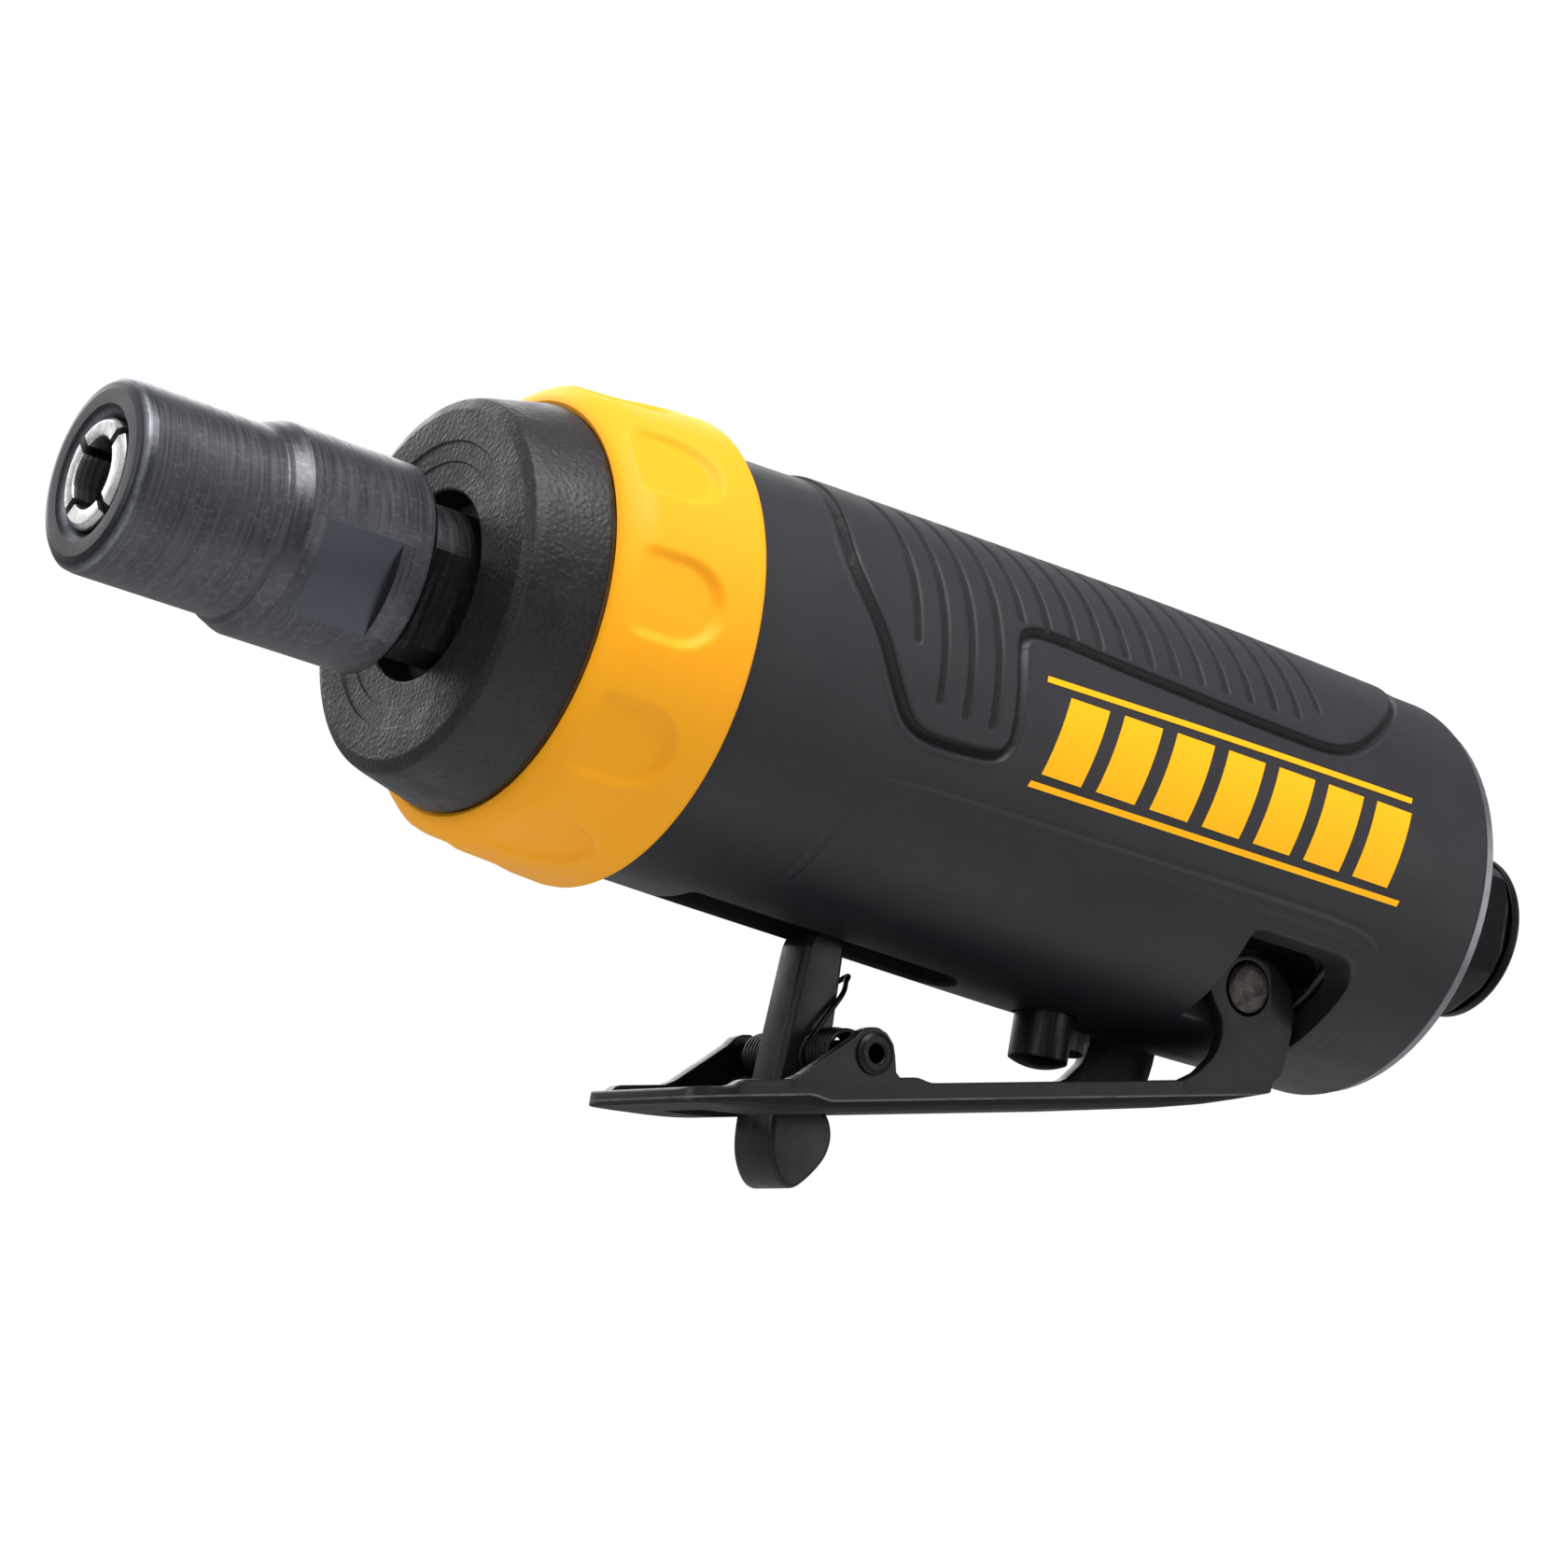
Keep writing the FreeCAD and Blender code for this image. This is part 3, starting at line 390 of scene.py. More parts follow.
def soft_touch(name):
    """Charcoal soft-touch skin: fine even grain, faint handling marks, painted shade in the recesses and rib
    grooves.
    """
    p = Paint(name, (0.0096, 0.0078, 0.0116), 0.48, specular=0.4)
    p.blotch(9.0, 4.0, 0.35, 0.7, 0.6, (0.0142, 0.012, 0.0158))
    p.blotch(0.9, 2.0, 0.6, 0.78, 0.3, (0.019, 0.018, 0.0205))
    p.blotch(0.35, 2.0, 0.74, 0.8, 0.5, (0.06, 0.06, 0.062))
    along = p.axis(0)
    front = p.math("MULTIPLY_ADD", along, 0.0162, 18.87)
    rear = p.math("MULTIPLY_ADD", along, -0.0129, 22.02)
    plain = p.math("MINIMUM", p.math("MINIMUM", front, rear), 20.53)     # the barrel without its relief
    proud = p.math("SUBTRACT", p.radius(), plain)
    # painted shade: darker where the skin dips below the plain barrel, in grooves, pocket walls and rolled ends
    recess_shade = p.ramp(proud, -0.22, -0.5)
    p.colour(p.math("MULTIPLY", recess_shade, 0.85), (0.002, 0.002, 0.0022))
    # painted shade in the rib grooves
    ribs = p.math("MULTIPLY", p.ramp(proud, 0.07, 0.14), p.ramp(proud, 0.34, 0.24))
    p.colour(p.math("MULTIPLY", ribs, 0.75), (0.003, 0.0028, 0.0033))
    grain = p.ramp(p.noise(5.0, 4.0, stretch=(0.4, 1, 1)), 0.3, 0.7, 0.45, 0.55)
    p.rough(p.math("MULTIPLY_ADD", p.math("MAXIMUM", recess_shade, ribs), 0.35, grain))
    p.bump(p.noise(0.24, 3.0, 0.6), 0.022, 0.5)
    p.bump(p.noise(2.2, 2.0), 0.015, 0.3)
    return p.material


def pebbled(name):
    """Cast black composite with a leather-like pebble."""
    p = Paint(name, (0.0082, 0.0076, 0.0094), 0.4, specular=0.33)
    pebble = p.ramp(p.cells(0.42), 0.05, 0.6, 1.0, 0.0)
    p.colour(p.math("MULTIPLY", pebble, 0.5), (0.018, 0.018, 0.02))
    p.rough_noise(3.0, 3.0, 0.36, 0.5)
    p.bump(pebble, 0.04, 0.7)
    p.bump(p.noise(0.25, 3.0), 0.02, 0.6)
    return p.material


def yellow_moulded(name, colour=(0.93, 0.385, 0.006), specular=0.22):
    """Satin yellow with faint flow marks and a little grime."""
    p = Paint(name, colour, 0.5, specular=specular)
    p.blotch(14.0, 3.0, 0.35, 0.75, 0.5, (colour[0] * 0.99, colour[1] * 0.95, colour[2]))
    p.blotch(1.4, 5.0, 0.66, 0.8, 0.12, (0.75, 0.28, 0.01), 0.7)
    p.rough_noise(4.0, 3.0, 0.46, 0.56)
    p.bump(p.noise(0.5, 3.0), 0.01, 0.5)
    p.bump(p.noise(6.0, 2.0), 0.05, 0.3)
    p.set(p.bsdf, {"Subsurface Weight": 0.08, "Subsurface Scale": 0.002, "Subsurface Radius": (1.0, 0.5, 0.1)})
    return p.material


def turned_steel(name, colour, roughness, marks=0.006, edges=(), tint=(0.3, 0.31, 0.33), axis=0):
    """Lathe-turned steel: fine rings about an axis, cloudy oxide, bright worn edges at given places."""
    p = Paint(name, colour, roughness, metallic=1.0)
    stretch = [0.03, 0.03, 0.03]
    stretch[axis] = 1.0
    rings = p.noise(0.26, 3.0, 0.6, stretch=tuple(stretch))
    brushed = p.noise(0.45, 3.0, 0.6, stretch=(0.6, 0.25, 1.0), distortion=0.4)
    p.blotch(6.0, 5.0, 0.35, 0.72, 0.4, shade(colour, 1.35), 0.6)
    p.colour(p.ramp(rings, 0.48, 0.66, 0.0, 0.42), shade(colour, 1.7))
    p.colour(p.ramp(rings, 0.5, 0.34, 0.0, 0.42), shade(colour, 0.6))
    p.colour(p.ramp(brushed, 0.5, 0.68, 0.0, 0.5), shade(colour, 1.8))
    if edges:
        where = p.axis(axis)
        mask = None
        for centre, half in edges:
            one = p.band(where, centre, half)
            mask = one if mask is None else p.math("MAXIMUM", mask, one)
        broken = p.math("MULTIPLY", mask, p.ramp(p.noise(0.8, 4.0), 0.3, 0.62, 0.35, 1.0))
        p.colour(broken, tint)
    p.rough(p.ramp(rings, 0.3, 0.7, roughness * 0.85, roughness * 1.2))
    p.bump(rings, marks, 0.8)
    p.bump(brushed, marks, 0.5)
    return p


def ground_flats(p, x0, x1, half, colour):
    """Gives two wrench flats their own even, darker finish."""
    across = p.math("MULTIPLY", p.axis(1), -math.sin(FLAT))
    across = p.math("ABSOLUTE", p.math("MULTIPLY_ADD", p.axis(2), math.cos(FLAT), across))
    on_flat = p.ramp(across, half + 0.02, half + 0.08, 1.0, 0.0)
    near = p.ramp(across, half - 0.1, half - 0.05)
    along = p.axis(0)
    inside = p.math("MULTIPLY", p.ramp(along, x0, x0 + 0.02), p.ramp(along, x1, x1 - 0.02))
    skin = p.ramp(p.radius(), half - 0.1, half - 0.05)
    mask = p.math("MULTIPLY", p.math("MULTIPLY", on_flat, near), p.math("MULTIPLY", inside, skin))
    p.colour(p.math("MULTIPLY", mask, 0.9), colour)


def gloss_paint(name):
    """Black stoved enamel over pressed sheet: slight orange peel, dust specks, faint rubbed patches."""
    colour, roughness = (0.0062, 0.0056, 0.0068), 0.34
    p = Paint(name, colour, roughness, specular=0.22, coat=0.04, coat_rough=0.12)
    p.blotch(6.0, 4.0, 0.4, 0.75, 0.5, shade(colour, 1.7))
    p.blotch(0.5, 4.0, 0.7, 0.8, 0.3, (0.04, 0.04, 0.04))
    along = p.axis(0)
    # painted shade: the sheet below its crease, on the flanks and outside, is darkened to near black
    line = p.math("MULTIPLY_ADD", along, -SLOPE, SLOPE * KNEE[0] - KNEE[1])
    height = p.math("ADD", p.axis(2), line)
    below = p.math("SUBTRACT", height, p.ramp(along, 75.0, 78.0, -0.87, -1.5))
    flank = p.ramp(p.math("ABSOLUTE", p.axis(1)), HALF - SHEET - 0.1, HALF - SHEET + 0.05)
    outside = p.math("MAXIMUM", flank, p.ramp(height, -1.25, -1.35))
    under = p.math("MULTIPLY", p.ramp(below, -0.06, -0.16), outside)
    p.colour(under, (0.002, 0.0019, 0.0022))
    # painted highlight: a thin broken light line along the crease
    p.colour(p.math("MULTIPLY", p.band(below, -0.02, 0.14), p.ramp(p.noise(2.0, 4.0), 0.35, 0.6, 0.5, 0.9)),
             (0.14, 0.135, 0.14))
    peel = p.ramp(p.noise(2.0, 3.0), 0.3, 0.7, roughness * 0.95, roughness * 1.2)
    p.rough(p.math("MULTIPLY_ADD", under, 0.3, peel))
    p.bump(p.noise(1.6, 2.0), 0.012, 0.5)
    p.bump(p.noise(0.3, 2.0), 0.004, 0.5)
    return p.material


def moulded_black(name):
    p = Paint(name, (0.008, 0.0073, 0.0088), 0.3, specular=0.29)
    p.blotch(4.0, 4.0, 0.4, 0.75, 0.5, (0.012, 0.0112, 0.0128))
    p.rough_noise(2.5, 3.0, 0.255, 0.39)
    p.bump(p.noise(0.4, 3.0), 0.01, 0.5)
    return p.material


def drawn_steel(name, dark, light):
    """Blackened pin steel with light and dark draw marks along Z."""
    p = Paint(name, dark, 0.36, metallic=0.9)
    streaks = p.noise(0.9, 4.0, 0.6, stretch=(1.0, 1.0, 0.05))
    p.colour(p.ramp(streaks, 0.42, 0.66), light)
    p.blotch(0.45, 3.0, 0.6, 0.75, 0.5, shade(dark, 0.4))
    p.rough(p.ramp(streaks, 0.3, 0.7, 0.46, 0.3))
    p.bump(streaks, 0.012, 0.6)
    p.bump(p.noise(0.2, 3.0), 0.006, 0.5)
    return p.material


def worn_rivet(name):
    """Cut pin end: dull brown-grey, torn and speckled."""
    p = Paint(name, (0.075, 0.066, 0.062), 0.5, metallic=0.85)
    p.colour(p.ramp(p.noise(1.3, 5.0, 0.65), 0.45, 0.7), (0.026, 0.022, 0.021))
    p.colour(p.ramp(p.noise(0.35, 4.0, 0.7, stretch=(1.0, 1.0, 0.5)), 0.6, 0.72), (0.2, 0.18, 0.165))
    p.rough_noise(0.8, 4.0, 0.4, 0.62)
    p.bump(p.noise(0.5, 4.0, 0.65), 0.05, 0.7)
    return p.material


def soft_seal(name):
    p = Paint(name, (0.012, 0.012, 0.012), 0.5)
    p.blotch(1.5, 4.0, 0.4, 0.7, 0.4, (0.0216, 0.0216, 0.0216))
    p.rough_noise(1.0, 3.0, 0.42, 0.6)
    p.bump(p.noise(0.3, 3.0), 0.02, 0.4)
    return p.material


def pressed_felt(name):
    p = Paint(name, (0.13, 0.122, 0.105), 0.95, specular=0.15)
    fibres = p.noise(0.25, 5.0, 0.7, stretch=(1, 0.35, 1), distortion=1.5)
    p.colour(p.ramp(fibres, 0.35, 0.7, 0.0, 0.7), (0.07, 0.065, 0.055))
    p.bump(fibres, 0.12, 0.8)
    p.bsdf.inputs["Sheen Weight"].default_value = 0.3
    return p.material


def laminate(name):
    p = Paint(name, (0.2, 0.09, 0.035), 0.45)
    layers = p.noise(0.5, 2.0, 0.5, stretch=(0.05, 1, 1))
    p.colour(p.ramp(layers, 0.4, 0.6, 0.0, 0.7), (0.3, 0.15, 0.06))
    p.rough(p.ramp(layers, 0.3, 0.7, 0.38, 0.55))
    p.bump(layers, 0.02, 0.4)
    return p.material


def cast_body(name):
    """Machined aluminium at both ends, black-anodised where the grip and the pockets are."""
    p = Paint(name, (0.24, 0.245, 0.255), 0.42, metallic=1.0)
    along = p.axis(0)
    dark = p.math("MULTIPLY", p.ramp(along, 54.0, 54.3, 0.0, 1.0), p.ramp(along, 142.1, 142.2, 1.0, 0.0))
    p.blotch(2.5, 4.0, 0.35, 0.7, 0.3, (0.19, 0.195, 0.205))
    bare = p.band(along, 129.72, 0.4)
    dark = p.math("MULTIPLY", dark, p.math("SUBTRACT", 1.0, p.ramp(bare, 0.0, 0.3)))
    p.colour(dark, (0.02, 0.019, 0.019))
    p.rough_noise(1.6, 4.0, 0.28, 0.42)
    p.bump(p.noise(0.12, 2.0, 0.5, stretch=(1.0, 0.02, 0.02)), 0.006, 0.6)
    return p.material


def floor_paint(name):
    p = Paint(name, (0.83, 0.83, 0.82), 0.75, specular=0.2)
    p.blotch(260.0, 3.0, 0.35, 0.7, 0.3, (0.8, 0.8, 0.79))
    p.bump(p.noise(4.0, 3.0), 0.05, 0.1)
    return p.material


def put(obj, material):
    obj.data.materials.clear()
    obj.data.materials.append(material)


def piece(obj, body, slot, material, *nodes):
    put(obj, material)
    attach(obj, body)
    if nodes:
        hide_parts(*nodes)
    return obj


GRIP = soft_touch("grip_soft_touch")
CAP = pebbled("cap_pebble")
YELLOW = yellow_moulded("yellow_moulding")
NUT_PAINT = turned_steel("black_oxide_nut", (0.066, 0.067, 0.073), 0.38, marks=0.009,
                         edges=((0.6, 0.4), (28.3, 0.25)), tint=(0.17, 0.18, 0.2))
ground_flats(NUT_PAINT, *NUT_FLATS, (0.078, 0.085, 0.102))
# painted shade: the nut's front face, below x 0.45 mm, is darkened
NUT_PAINT.colour(NUT_PAINT.ramp(NUT_PAINT.axis(0), 0.45, 0.1, 0.0, 0.8), (0.022, 0.0225, 0.025))
NUT = NUT_PAINT.material
HOLDER = turned_steel("black_oxide_holder", (0.07, 0.07, 0.076), 0.4, edges=((27.7, 0.3), (36.0, 0.3)),
                      tint=(0.16, 0.16, 0.17)).material
COLLET = turned_steel("bright_collet", (0.3, 0.295, 0.29), 0.28, marks=0.004, edges=((0.1, 0.35),),
                      tint=(0.7, 0.69, 0.68)).material
INLET = turned_steel("black_oxide_inlet", (0.0095, 0.0095, 0.0105), 0.4, edges=((157.9, 0.25), (156.2, 0.25)),
                     tint=(0.05, 0.05, 0.055)).material
PLUNGER = drawn_steel("dark_plunger", (0.011, 0.0105, 0.01), (0.05, 0.047, 0.044))
STEM = drawn_steel("regulator_steel", (0.1, 0.1, 0.1), (0.24, 0.24, 0.24))
PIN = worn_rivet("dull_pin")
RIVET = turned_steel("blackened_rivet", (0.02, 0.0195, 0.0195), 0.34, axis=1).material
SPRING = turned_steel("oiled_spring", (0.016, 0.015, 0.0145), 0.34, axis=1).material
GROUND = turned_steel("ground_steel", (0.5, 0.5, 0.51), 0.3).material
BEARING = turned_steel("bearing_steel", (0.62, 0.62, 0.63), 0.16, marks=0.003).material
BRASS = turned_steel("turned_brass", (0.62, 0.46, 0.2), 0.3, axis=2, tint=(0.7, 0.55, 0.3)).material
CAGE = turned_steel("stamped_brass", (0.6, 0.44, 0.19), 0.34).material
ENAMEL = gloss_paint("black_enamel")
LATCH_SKIN = moulded_black("latch_moulding")
SEAL = soft_seal("seal_rubber_skin")
FELT = pressed_felt("felt_fibres")
PHENOLIC = laminate("phenolic_laminate")
BODY = cast_body("housing_metal")
SCREEN = turned_steel("woven_screen", (0.5, 0.5, 0.5), 0.3).material

BY_SLOT = {"cast_aluminium": BODY, "grip_rubber": GRIP, "cap_composite": CAP, "machined_steel": GROUND,
           "bearing_steel": BEARING, "bright_steel": SCREEN, "black_steel": HOLDER, "plunger_steel": PLUNGER,
           "pin_steel": PIN, "spring_steel": SPRING, "cage_brass": CAGE, "valve_brass": BRASS,
           "vane_phenolic": PHENOLIC, "seal_rubber": SEAL, "felt": FELT, "yellow_plastic": YELLOW,
           "black_paint": ENAMEL, "latch_plastic": LATCH_SKIN}

for part in frame["record"]["subparts"]:
    slots = frame["nodes"][part["node"]].data.materials
    if not slots:
        slots.append(None)
    for index in range(len(slots)):
        slots[index] = BY_SLOT[part["material_slot"]]
frame["nodes"]["regulator_stem"].data.materials[0] = STEM


# ---- grip
GRIP_R = 20.4                    # radius at which outlines on the grip are laid out


def profile_radius(x):
    """Plain radius of the grip along its length."""
    xs = [GRIP_FRONT, 61.0, 66.0, 74.0, 82.0, 90.0, 98.0, 105.0, 116.0, 126.0, 131.0, 137.0, GRIP_REAR]
    rs = [19.72, 19.83, 19.95, 20.08, 20.2, 20.33, 20.45, 20.54, 20.52, 20.42, 20.34, 20.24, 20.18]
    return 0.25 * (np.interp(x - 2.0, xs, rs) + np.interp(x + 2.0, xs, rs)) + 0.5 * np.interp(x, xs, rs)


def chaikin(points, rounds, closed=True):
    """Smooths an outline by cutting its corners, round after round."""
    for _ in range(rounds):
        count = len(points)
        made = [] if closed else [points[0]]
        for i in range(count if closed else count - 1):
            a, b = points[i], points[(i + 1) % count]
            made.append((a[0] * 0.75 + b[0] * 0.25, a[1] * 0.75 + b[1] * 0.25))
            made.append((a[0] * 0.25 + b[0] * 0.75, a[1] * 0.25 + b[1] * 0.75))
        points = made if closed else made + [points[-1]]
    return points


def unrolled(points):
    """(x, degrees) turned into (x, arc length), both in millimetres."""
    return [(x, math.radians(t) * GRIP_R) for x, t in points]


def path_distance(px, ps, path, closed):
    """Distance from grid points to a path, and whether each lies inside it if it is closed."""
    best = np.full(px.shape, 1e9)
    inside = np.zeros(px.shape, dtype=bool)
    count = len(path)
    for i in range(count if closed else count - 1):
        (x0, s0), (x1, s1) = path[i], path[(i + 1) % count]
        dx, ds = x1 - x0, s1 - s0
        t = np.clip(((px - x0) * dx + (ps - s0) * ds) / max(dx * dx + ds * ds, 1e-12), 0, 1)
        best = np.minimum(best, np.hypot(px - x0 - t * dx, ps - s0 - t * ds))
        if closed and s0 != s1:
            crosses = (s0 > ps) != (s1 > ps)
            at = x0 + (ps - s0) / (s1 - s0) * dx
            inside ^= crosses & (px < at)
    return best, inside


def step(value, low, high):
    """Smooth step from 0 at low to 1 at high."""
    t = np.clip((value - low) / (high - low), 0, 1)
    return t * t * (3 - 2 * t)


PANEL = chaikin([(66.0, -25), (65.6, 28), (64.8, 46), (64.6, 60), (66.0, 70), (67.8, 79), (69.1, 87), (70.7, 95),
                 (72.5, 100.5), (75.3, 102), (82.2, 101), (83.4, 97.5), (83.6, 92), (83.5, 81), (83.5, 70),
                 (84.2, 65.2), (86.6, 63.2), (96, 65.5), (109, 67.5), (116, 68), (121.5, 68), (125.0, 64.5),
                 (128.9, 55), (133.3, 41), (136.3, 26), (137.2, 10), (137.2, -25)], 3)
RIB_ENDS = [78.0, 92.0, 93.5, 93.5]
RIB_PITCH = 3.05
RIB_FIRST = 71.6
RIB_COUNT = 17
BEAD = chaikin([(69.3, 150), (69.5, 128), (70.6, 118), (73.0, 114.6), (95.0, 114.0), (118.5, 113), (129.0, 113.6),
                (131.7, 118), (132.9, 130), (132.9, 150)], 2, closed=False)
POCKET_SIDE = [(116.8, -18.4), (130.6, -18.4), (130.6, -10.4, 3.0), (116.8, -10.4, 1.0)]
POCKET = [(x, math.degrees(math.acos(z / GRIP_R))) for x, z in rounded(POCKET_SIDE, 6)]


def rolled(t, depth):
    """Quarter-round edge: 0 where t is 0, depth where t is 1."""
    return depth * (1 - np.sqrt(np.maximum(1 - t ** 2, 0)))


def grip_radius(x, theta):
    """Outside radius of the grip at x, with its panel, ribs, beads and rounded pocket rims."""
    phi = np.abs((theta + math.pi) % (2 * math.pi) - math.pi)
    x, phi = np.broadcast_arrays(x, phi)
    s = phi * GRIP_R
    r = profile_radius(x)
    d, inside = path_distance(x, s, unrolled(PANEL), True)
    signed = np.where(inside, -d, d)
    r = r + 0.36 * step(-signed, -0.1, 0.9)
    r = r - 0.5 * (1 - step(np.abs(signed), 0.08, 0.6)) + 0.06 * np.exp(-((signed - 0.85) / 0.28) ** 2)
    for k in range(RIB_COUNT):
        at = RIB_FIRST + RIB_PITCH * k
        end = RIB_ENDS[k] if k < len(RIB_ENDS) else 61.5 - max(0.0, at - 117.0) * 1.6
        low = math.radians(end) * GRIP_R
        away = np.hypot(x - at, np.maximum(s - low, 0.0))
        r = r - 0.22 * (1 - step(away, 0.05, 0.6))
    d, _ = path_distance(x, s, unrolled(BEAD), False)
    r = r + 0.05 * (1 - step(d, 0.28, 0.52)) - 0.07 * np.exp(-((d - 0.66) / 0.2) ** 2)
    d, inside = path_distance(x, s, unrolled(POCKET), True)
    lip = np.where(inside, 1.0, np.clip(1 - d / 0.35, 0, 1))
    r = r - rolled(lip, 0.3)
    r = r - rolled(np.clip(1 - (x - GRIP_FRONT) / 0.5, 0, 1), 0.45)
    return r - rolled(np.clip(1 - (GRIP_REAR - x) / 0.92, 0, 1), 0.92)


def make_grip():
    fine = np.radians(np.arange(-124.0, 124.0, 0.45))
    coarse = np.radians(np.arange(124.0, 236.0, 0.9))
    theta = np.concatenate([fine, coarse])
    xs = np.concatenate([[GRIP_FRONT, 54.46, 54.6, 54.8], np.arange(55.1, 62.0, 0.6),
                         np.arange(62.0, 139.0, 0.22), np.arange(139.0, 141.3, 0.4),
                         [141.38, 141.55, 141.75, 141.95, 142.1, 142.2, 142.26, GRIP_REAR]])
    rings = list(zip(xs, grip_radius(xs[:, None], theta[None, :])))
    rings += [(x, np.full(len(theta), GRIP_BORE)) for x in (GRIP_REAR, GRIP_FRONT)]
    grip = tidy(ring_skin("grip_skin", rings, theta), 0.0001)
    groove = [(64.0, -3.2, 0.8), (96.0, -3.2, 3.15), (96.0, 3.2, 3.15), (64.0, 3.2, 0.8)]
    cutters = [plan_prism("groove", rounded(groove, 8), -FAR, -16.0)]
    pocket = rounded([(116.8, -FAR), (130.6, -FAR)] + POCKET_SIDE[2:], 10)
    cutters.append(prism("pocket", pocket, -FAR, -POCKET_HALF))
    cutters.append(prism("pocket", pocket, POCKET_HALF, FAR))
    for x, y, radius in ((VALVE_X, 0.0, PLUNGER_HOLE), STEM_PLACE):
        cutters.append(stand(rod_cutter("hole", radius, -14), x, y))
    cutters.append(stand(rod_cutter("hole", PIN_HOLE), *PIVOT, axis="Y"))
    return cut(grip, *cutters, solver="MANIFOLD", angle=34.0)


piece(make_grip(), "casing", "grip_rubber", GRIP, "grip_sleeve")


def decal(name, outline, side):
    """Thin print that hugs the grip inside an (x, degrees) outline, on the +Y or the -Y side."""
    rise, sunk, spacing = 0.07, -0.15, 0.45
    bm = bmesh.new()
    corners = unrolled(outline)
    bm.faces.new([bm.verts.new((x, s, 0)) for x, s in corners])
    for normal, values in zip((Vector((1, 0, 0)), Vector((0, 1, 0))), zip(*corners)):
        place = min(values) + spacing
        while place < max(values) - spacing * 0.3:
            geometry = bm.verts[:] + bm.edges[:] + bm.faces[:]
            bmesh.ops.bisect_plane(bm, geom=geometry, dist=1e-6, plane_co=normal * place, plane_no=normal)
            place += spacing
    x, s, _ = np.array([tuple(v.co) for v in bm.verts]).T
    bm.verts.index_update()
    faces = [tuple(v.index for v in f.verts) for f in bm.faces]
    border = [tuple(v.index for v in e.verts) for e in bm.edges if len(e.link_faces) == 1]
    bm.free()
    count, theta = len(x), s / GRIP_R
    verts = []
    for lift in (rise, sunk):
        radius = grip_radius(x, theta) + lift
        verts.append(np.stack([x, side * radius * np.sin(theta), radius * np.cos(theta)], axis=1))
    under = [tuple(i + count for i in reversed(f)) for f in faces]
    walls = [(a, b, b + count, a + count) for a, b in border]
    return tidy(new_object(name, np.concatenate(verts), faces + under + walls, 30.0), 0.0005, 30.0)


def grip_graphics(name, side):
    """Two bars with a row of plain slanted blocks between them."""
    shapes = [[(86.6, 75.4), (131.7, 73.3), (131.5, 75.0), (86.5, 77.1)],
              [(86.5, 103.2), (131.6, 102.0), (131.4, 103.7), (86.3, 104.9)]]
    count, length, lean, wide = 7, 44.0, 1.9, 4.5
    for k in range(count):
        x0 = 87.4 + length / count * k
        top, low = 79.3 - 0.25 * k, 100.9 - 0.18 * k
        shapes.append([(x0 + lean, top), (x0 + lean + wide, top), (x0 + wide, low), (x0, low)])
    return join([decal("bar", shape, side) for shape in shapes], name)


PRINT = yellow_moulded("yellow_print", (1.0, 0.455, 0.006), 0.14)
for name, side in (("grip_graphics_near", -1.0), ("grip_graphics_far", 1.0)):
    piece(grip_graphics(name, side), "casing", "yellow_plastic", PRINT)


# ---- exhaust ring
def make_ring():
    """Yellow ring with finger scallops and, on the far side, three exhaust vents."""
    plain_x = [40.0, 40.12, 40.4, 40.9, 41.6, 42.2, 42.7, 43.4, 53.2, 53.6, 53.85, 54.0]
    plain_r = [18.95, 19.35, 19.75, 20.25, 20.78, 21.05, 21.18, 21.24, 21.82, 21.78, 21.6, 21.3]
    pitch, half_wide, dome_x, dome_long = math.radians(36), 3.95, 45.8, 4.3

    def shaped(x, r, theta):
        if r < 19.0 and x > 40.2:                        # the bore stays round
            return np.full(theta.shape, r)
        radii = np.full(theta.shape, np.interp(x, plain_x, plain_r))
        u = ((theta - math.radians(18) + pitch / 2) % pitch - pitch / 2) * 21.2
        v = max(x - dome_x, 0.0)
        edge = np.sqrt((u / half_wide) ** 2 + (v / dome_long) ** 2) - 1
        dent = 1 - step(edge * 4.0, -0.8, 0.3)
        floor = 20.62 + 0.02 * (x - 42) + 0.02 * u ** 2 * 0.6
        return np.minimum(radii, radii * (1 - dent) + floor * dent)

    xs = np.concatenate([[40.0, 40.06, 40.12, 40.25, 40.4, 40.6], np.arange(40.9, 53.0, 0.24),
                         [53.2, 53.4, 53.6, 53.75, 53.85, 53.93, 54.0]])
    profile = [(x, 21.0) for x in xs]
    profile += [(54.0, 18.6), (53.9, 18.5), (49.5, 18.5), (49.0, 18.7), (42.3, 18.7), (41.8, 18.5),
                (40.3, 18.5)]
    ring = lathe("exhaust_ring_skin", profile, 720, radius_of=shaped, angle=50.0)
    vents = []
    for angle in (-54, -90, -126):
        outline = rounded([(43.0, 17, 0), (48.2, 17, 0), (48.2, 24, 0), (43.0, 24, 0)])
        vents.append(turned(prism("vent", outline, -1.2, 1.2), math.radians(angle)))
    return cut(ring, *vents, solver="MANIFOLD", angle=50.0)


piece(make_ring(), "ring", "yellow_plastic", YELLOW, "exhaust_ring")


# ---- front cap
def make_cap():
    profile = rounded([(33.05, 8.6, 0.3), (33.0, 11.1, 0.1), (32.86, 11.2, 0.06), (32.82, 12.9, 0.06),
                       (32.62, 13.02, 0.1), (32.6, 15.9, 0.8), (33.1, 16.98, 0.6), (34.1, 17.3, 0.6),
                       (39.7, 18.66, 0.15), (39.85, 18.5, 0), (39.85, 15.25, 0), (46.95, 15.25, 0.2),
                       (46.95, 13.25, 0), (39.2, 13.25, 0), (38.5, 12.5, 0), (38.5, 10.05, 0), (36.6, 10.05, 0),
                       (36.6, 8.6, 0.2)], 5)
    return lathe("front_cap_skin", profile, 200)


piece(make_cap(), "casing", "cap_composite", CAP, "front_cap")


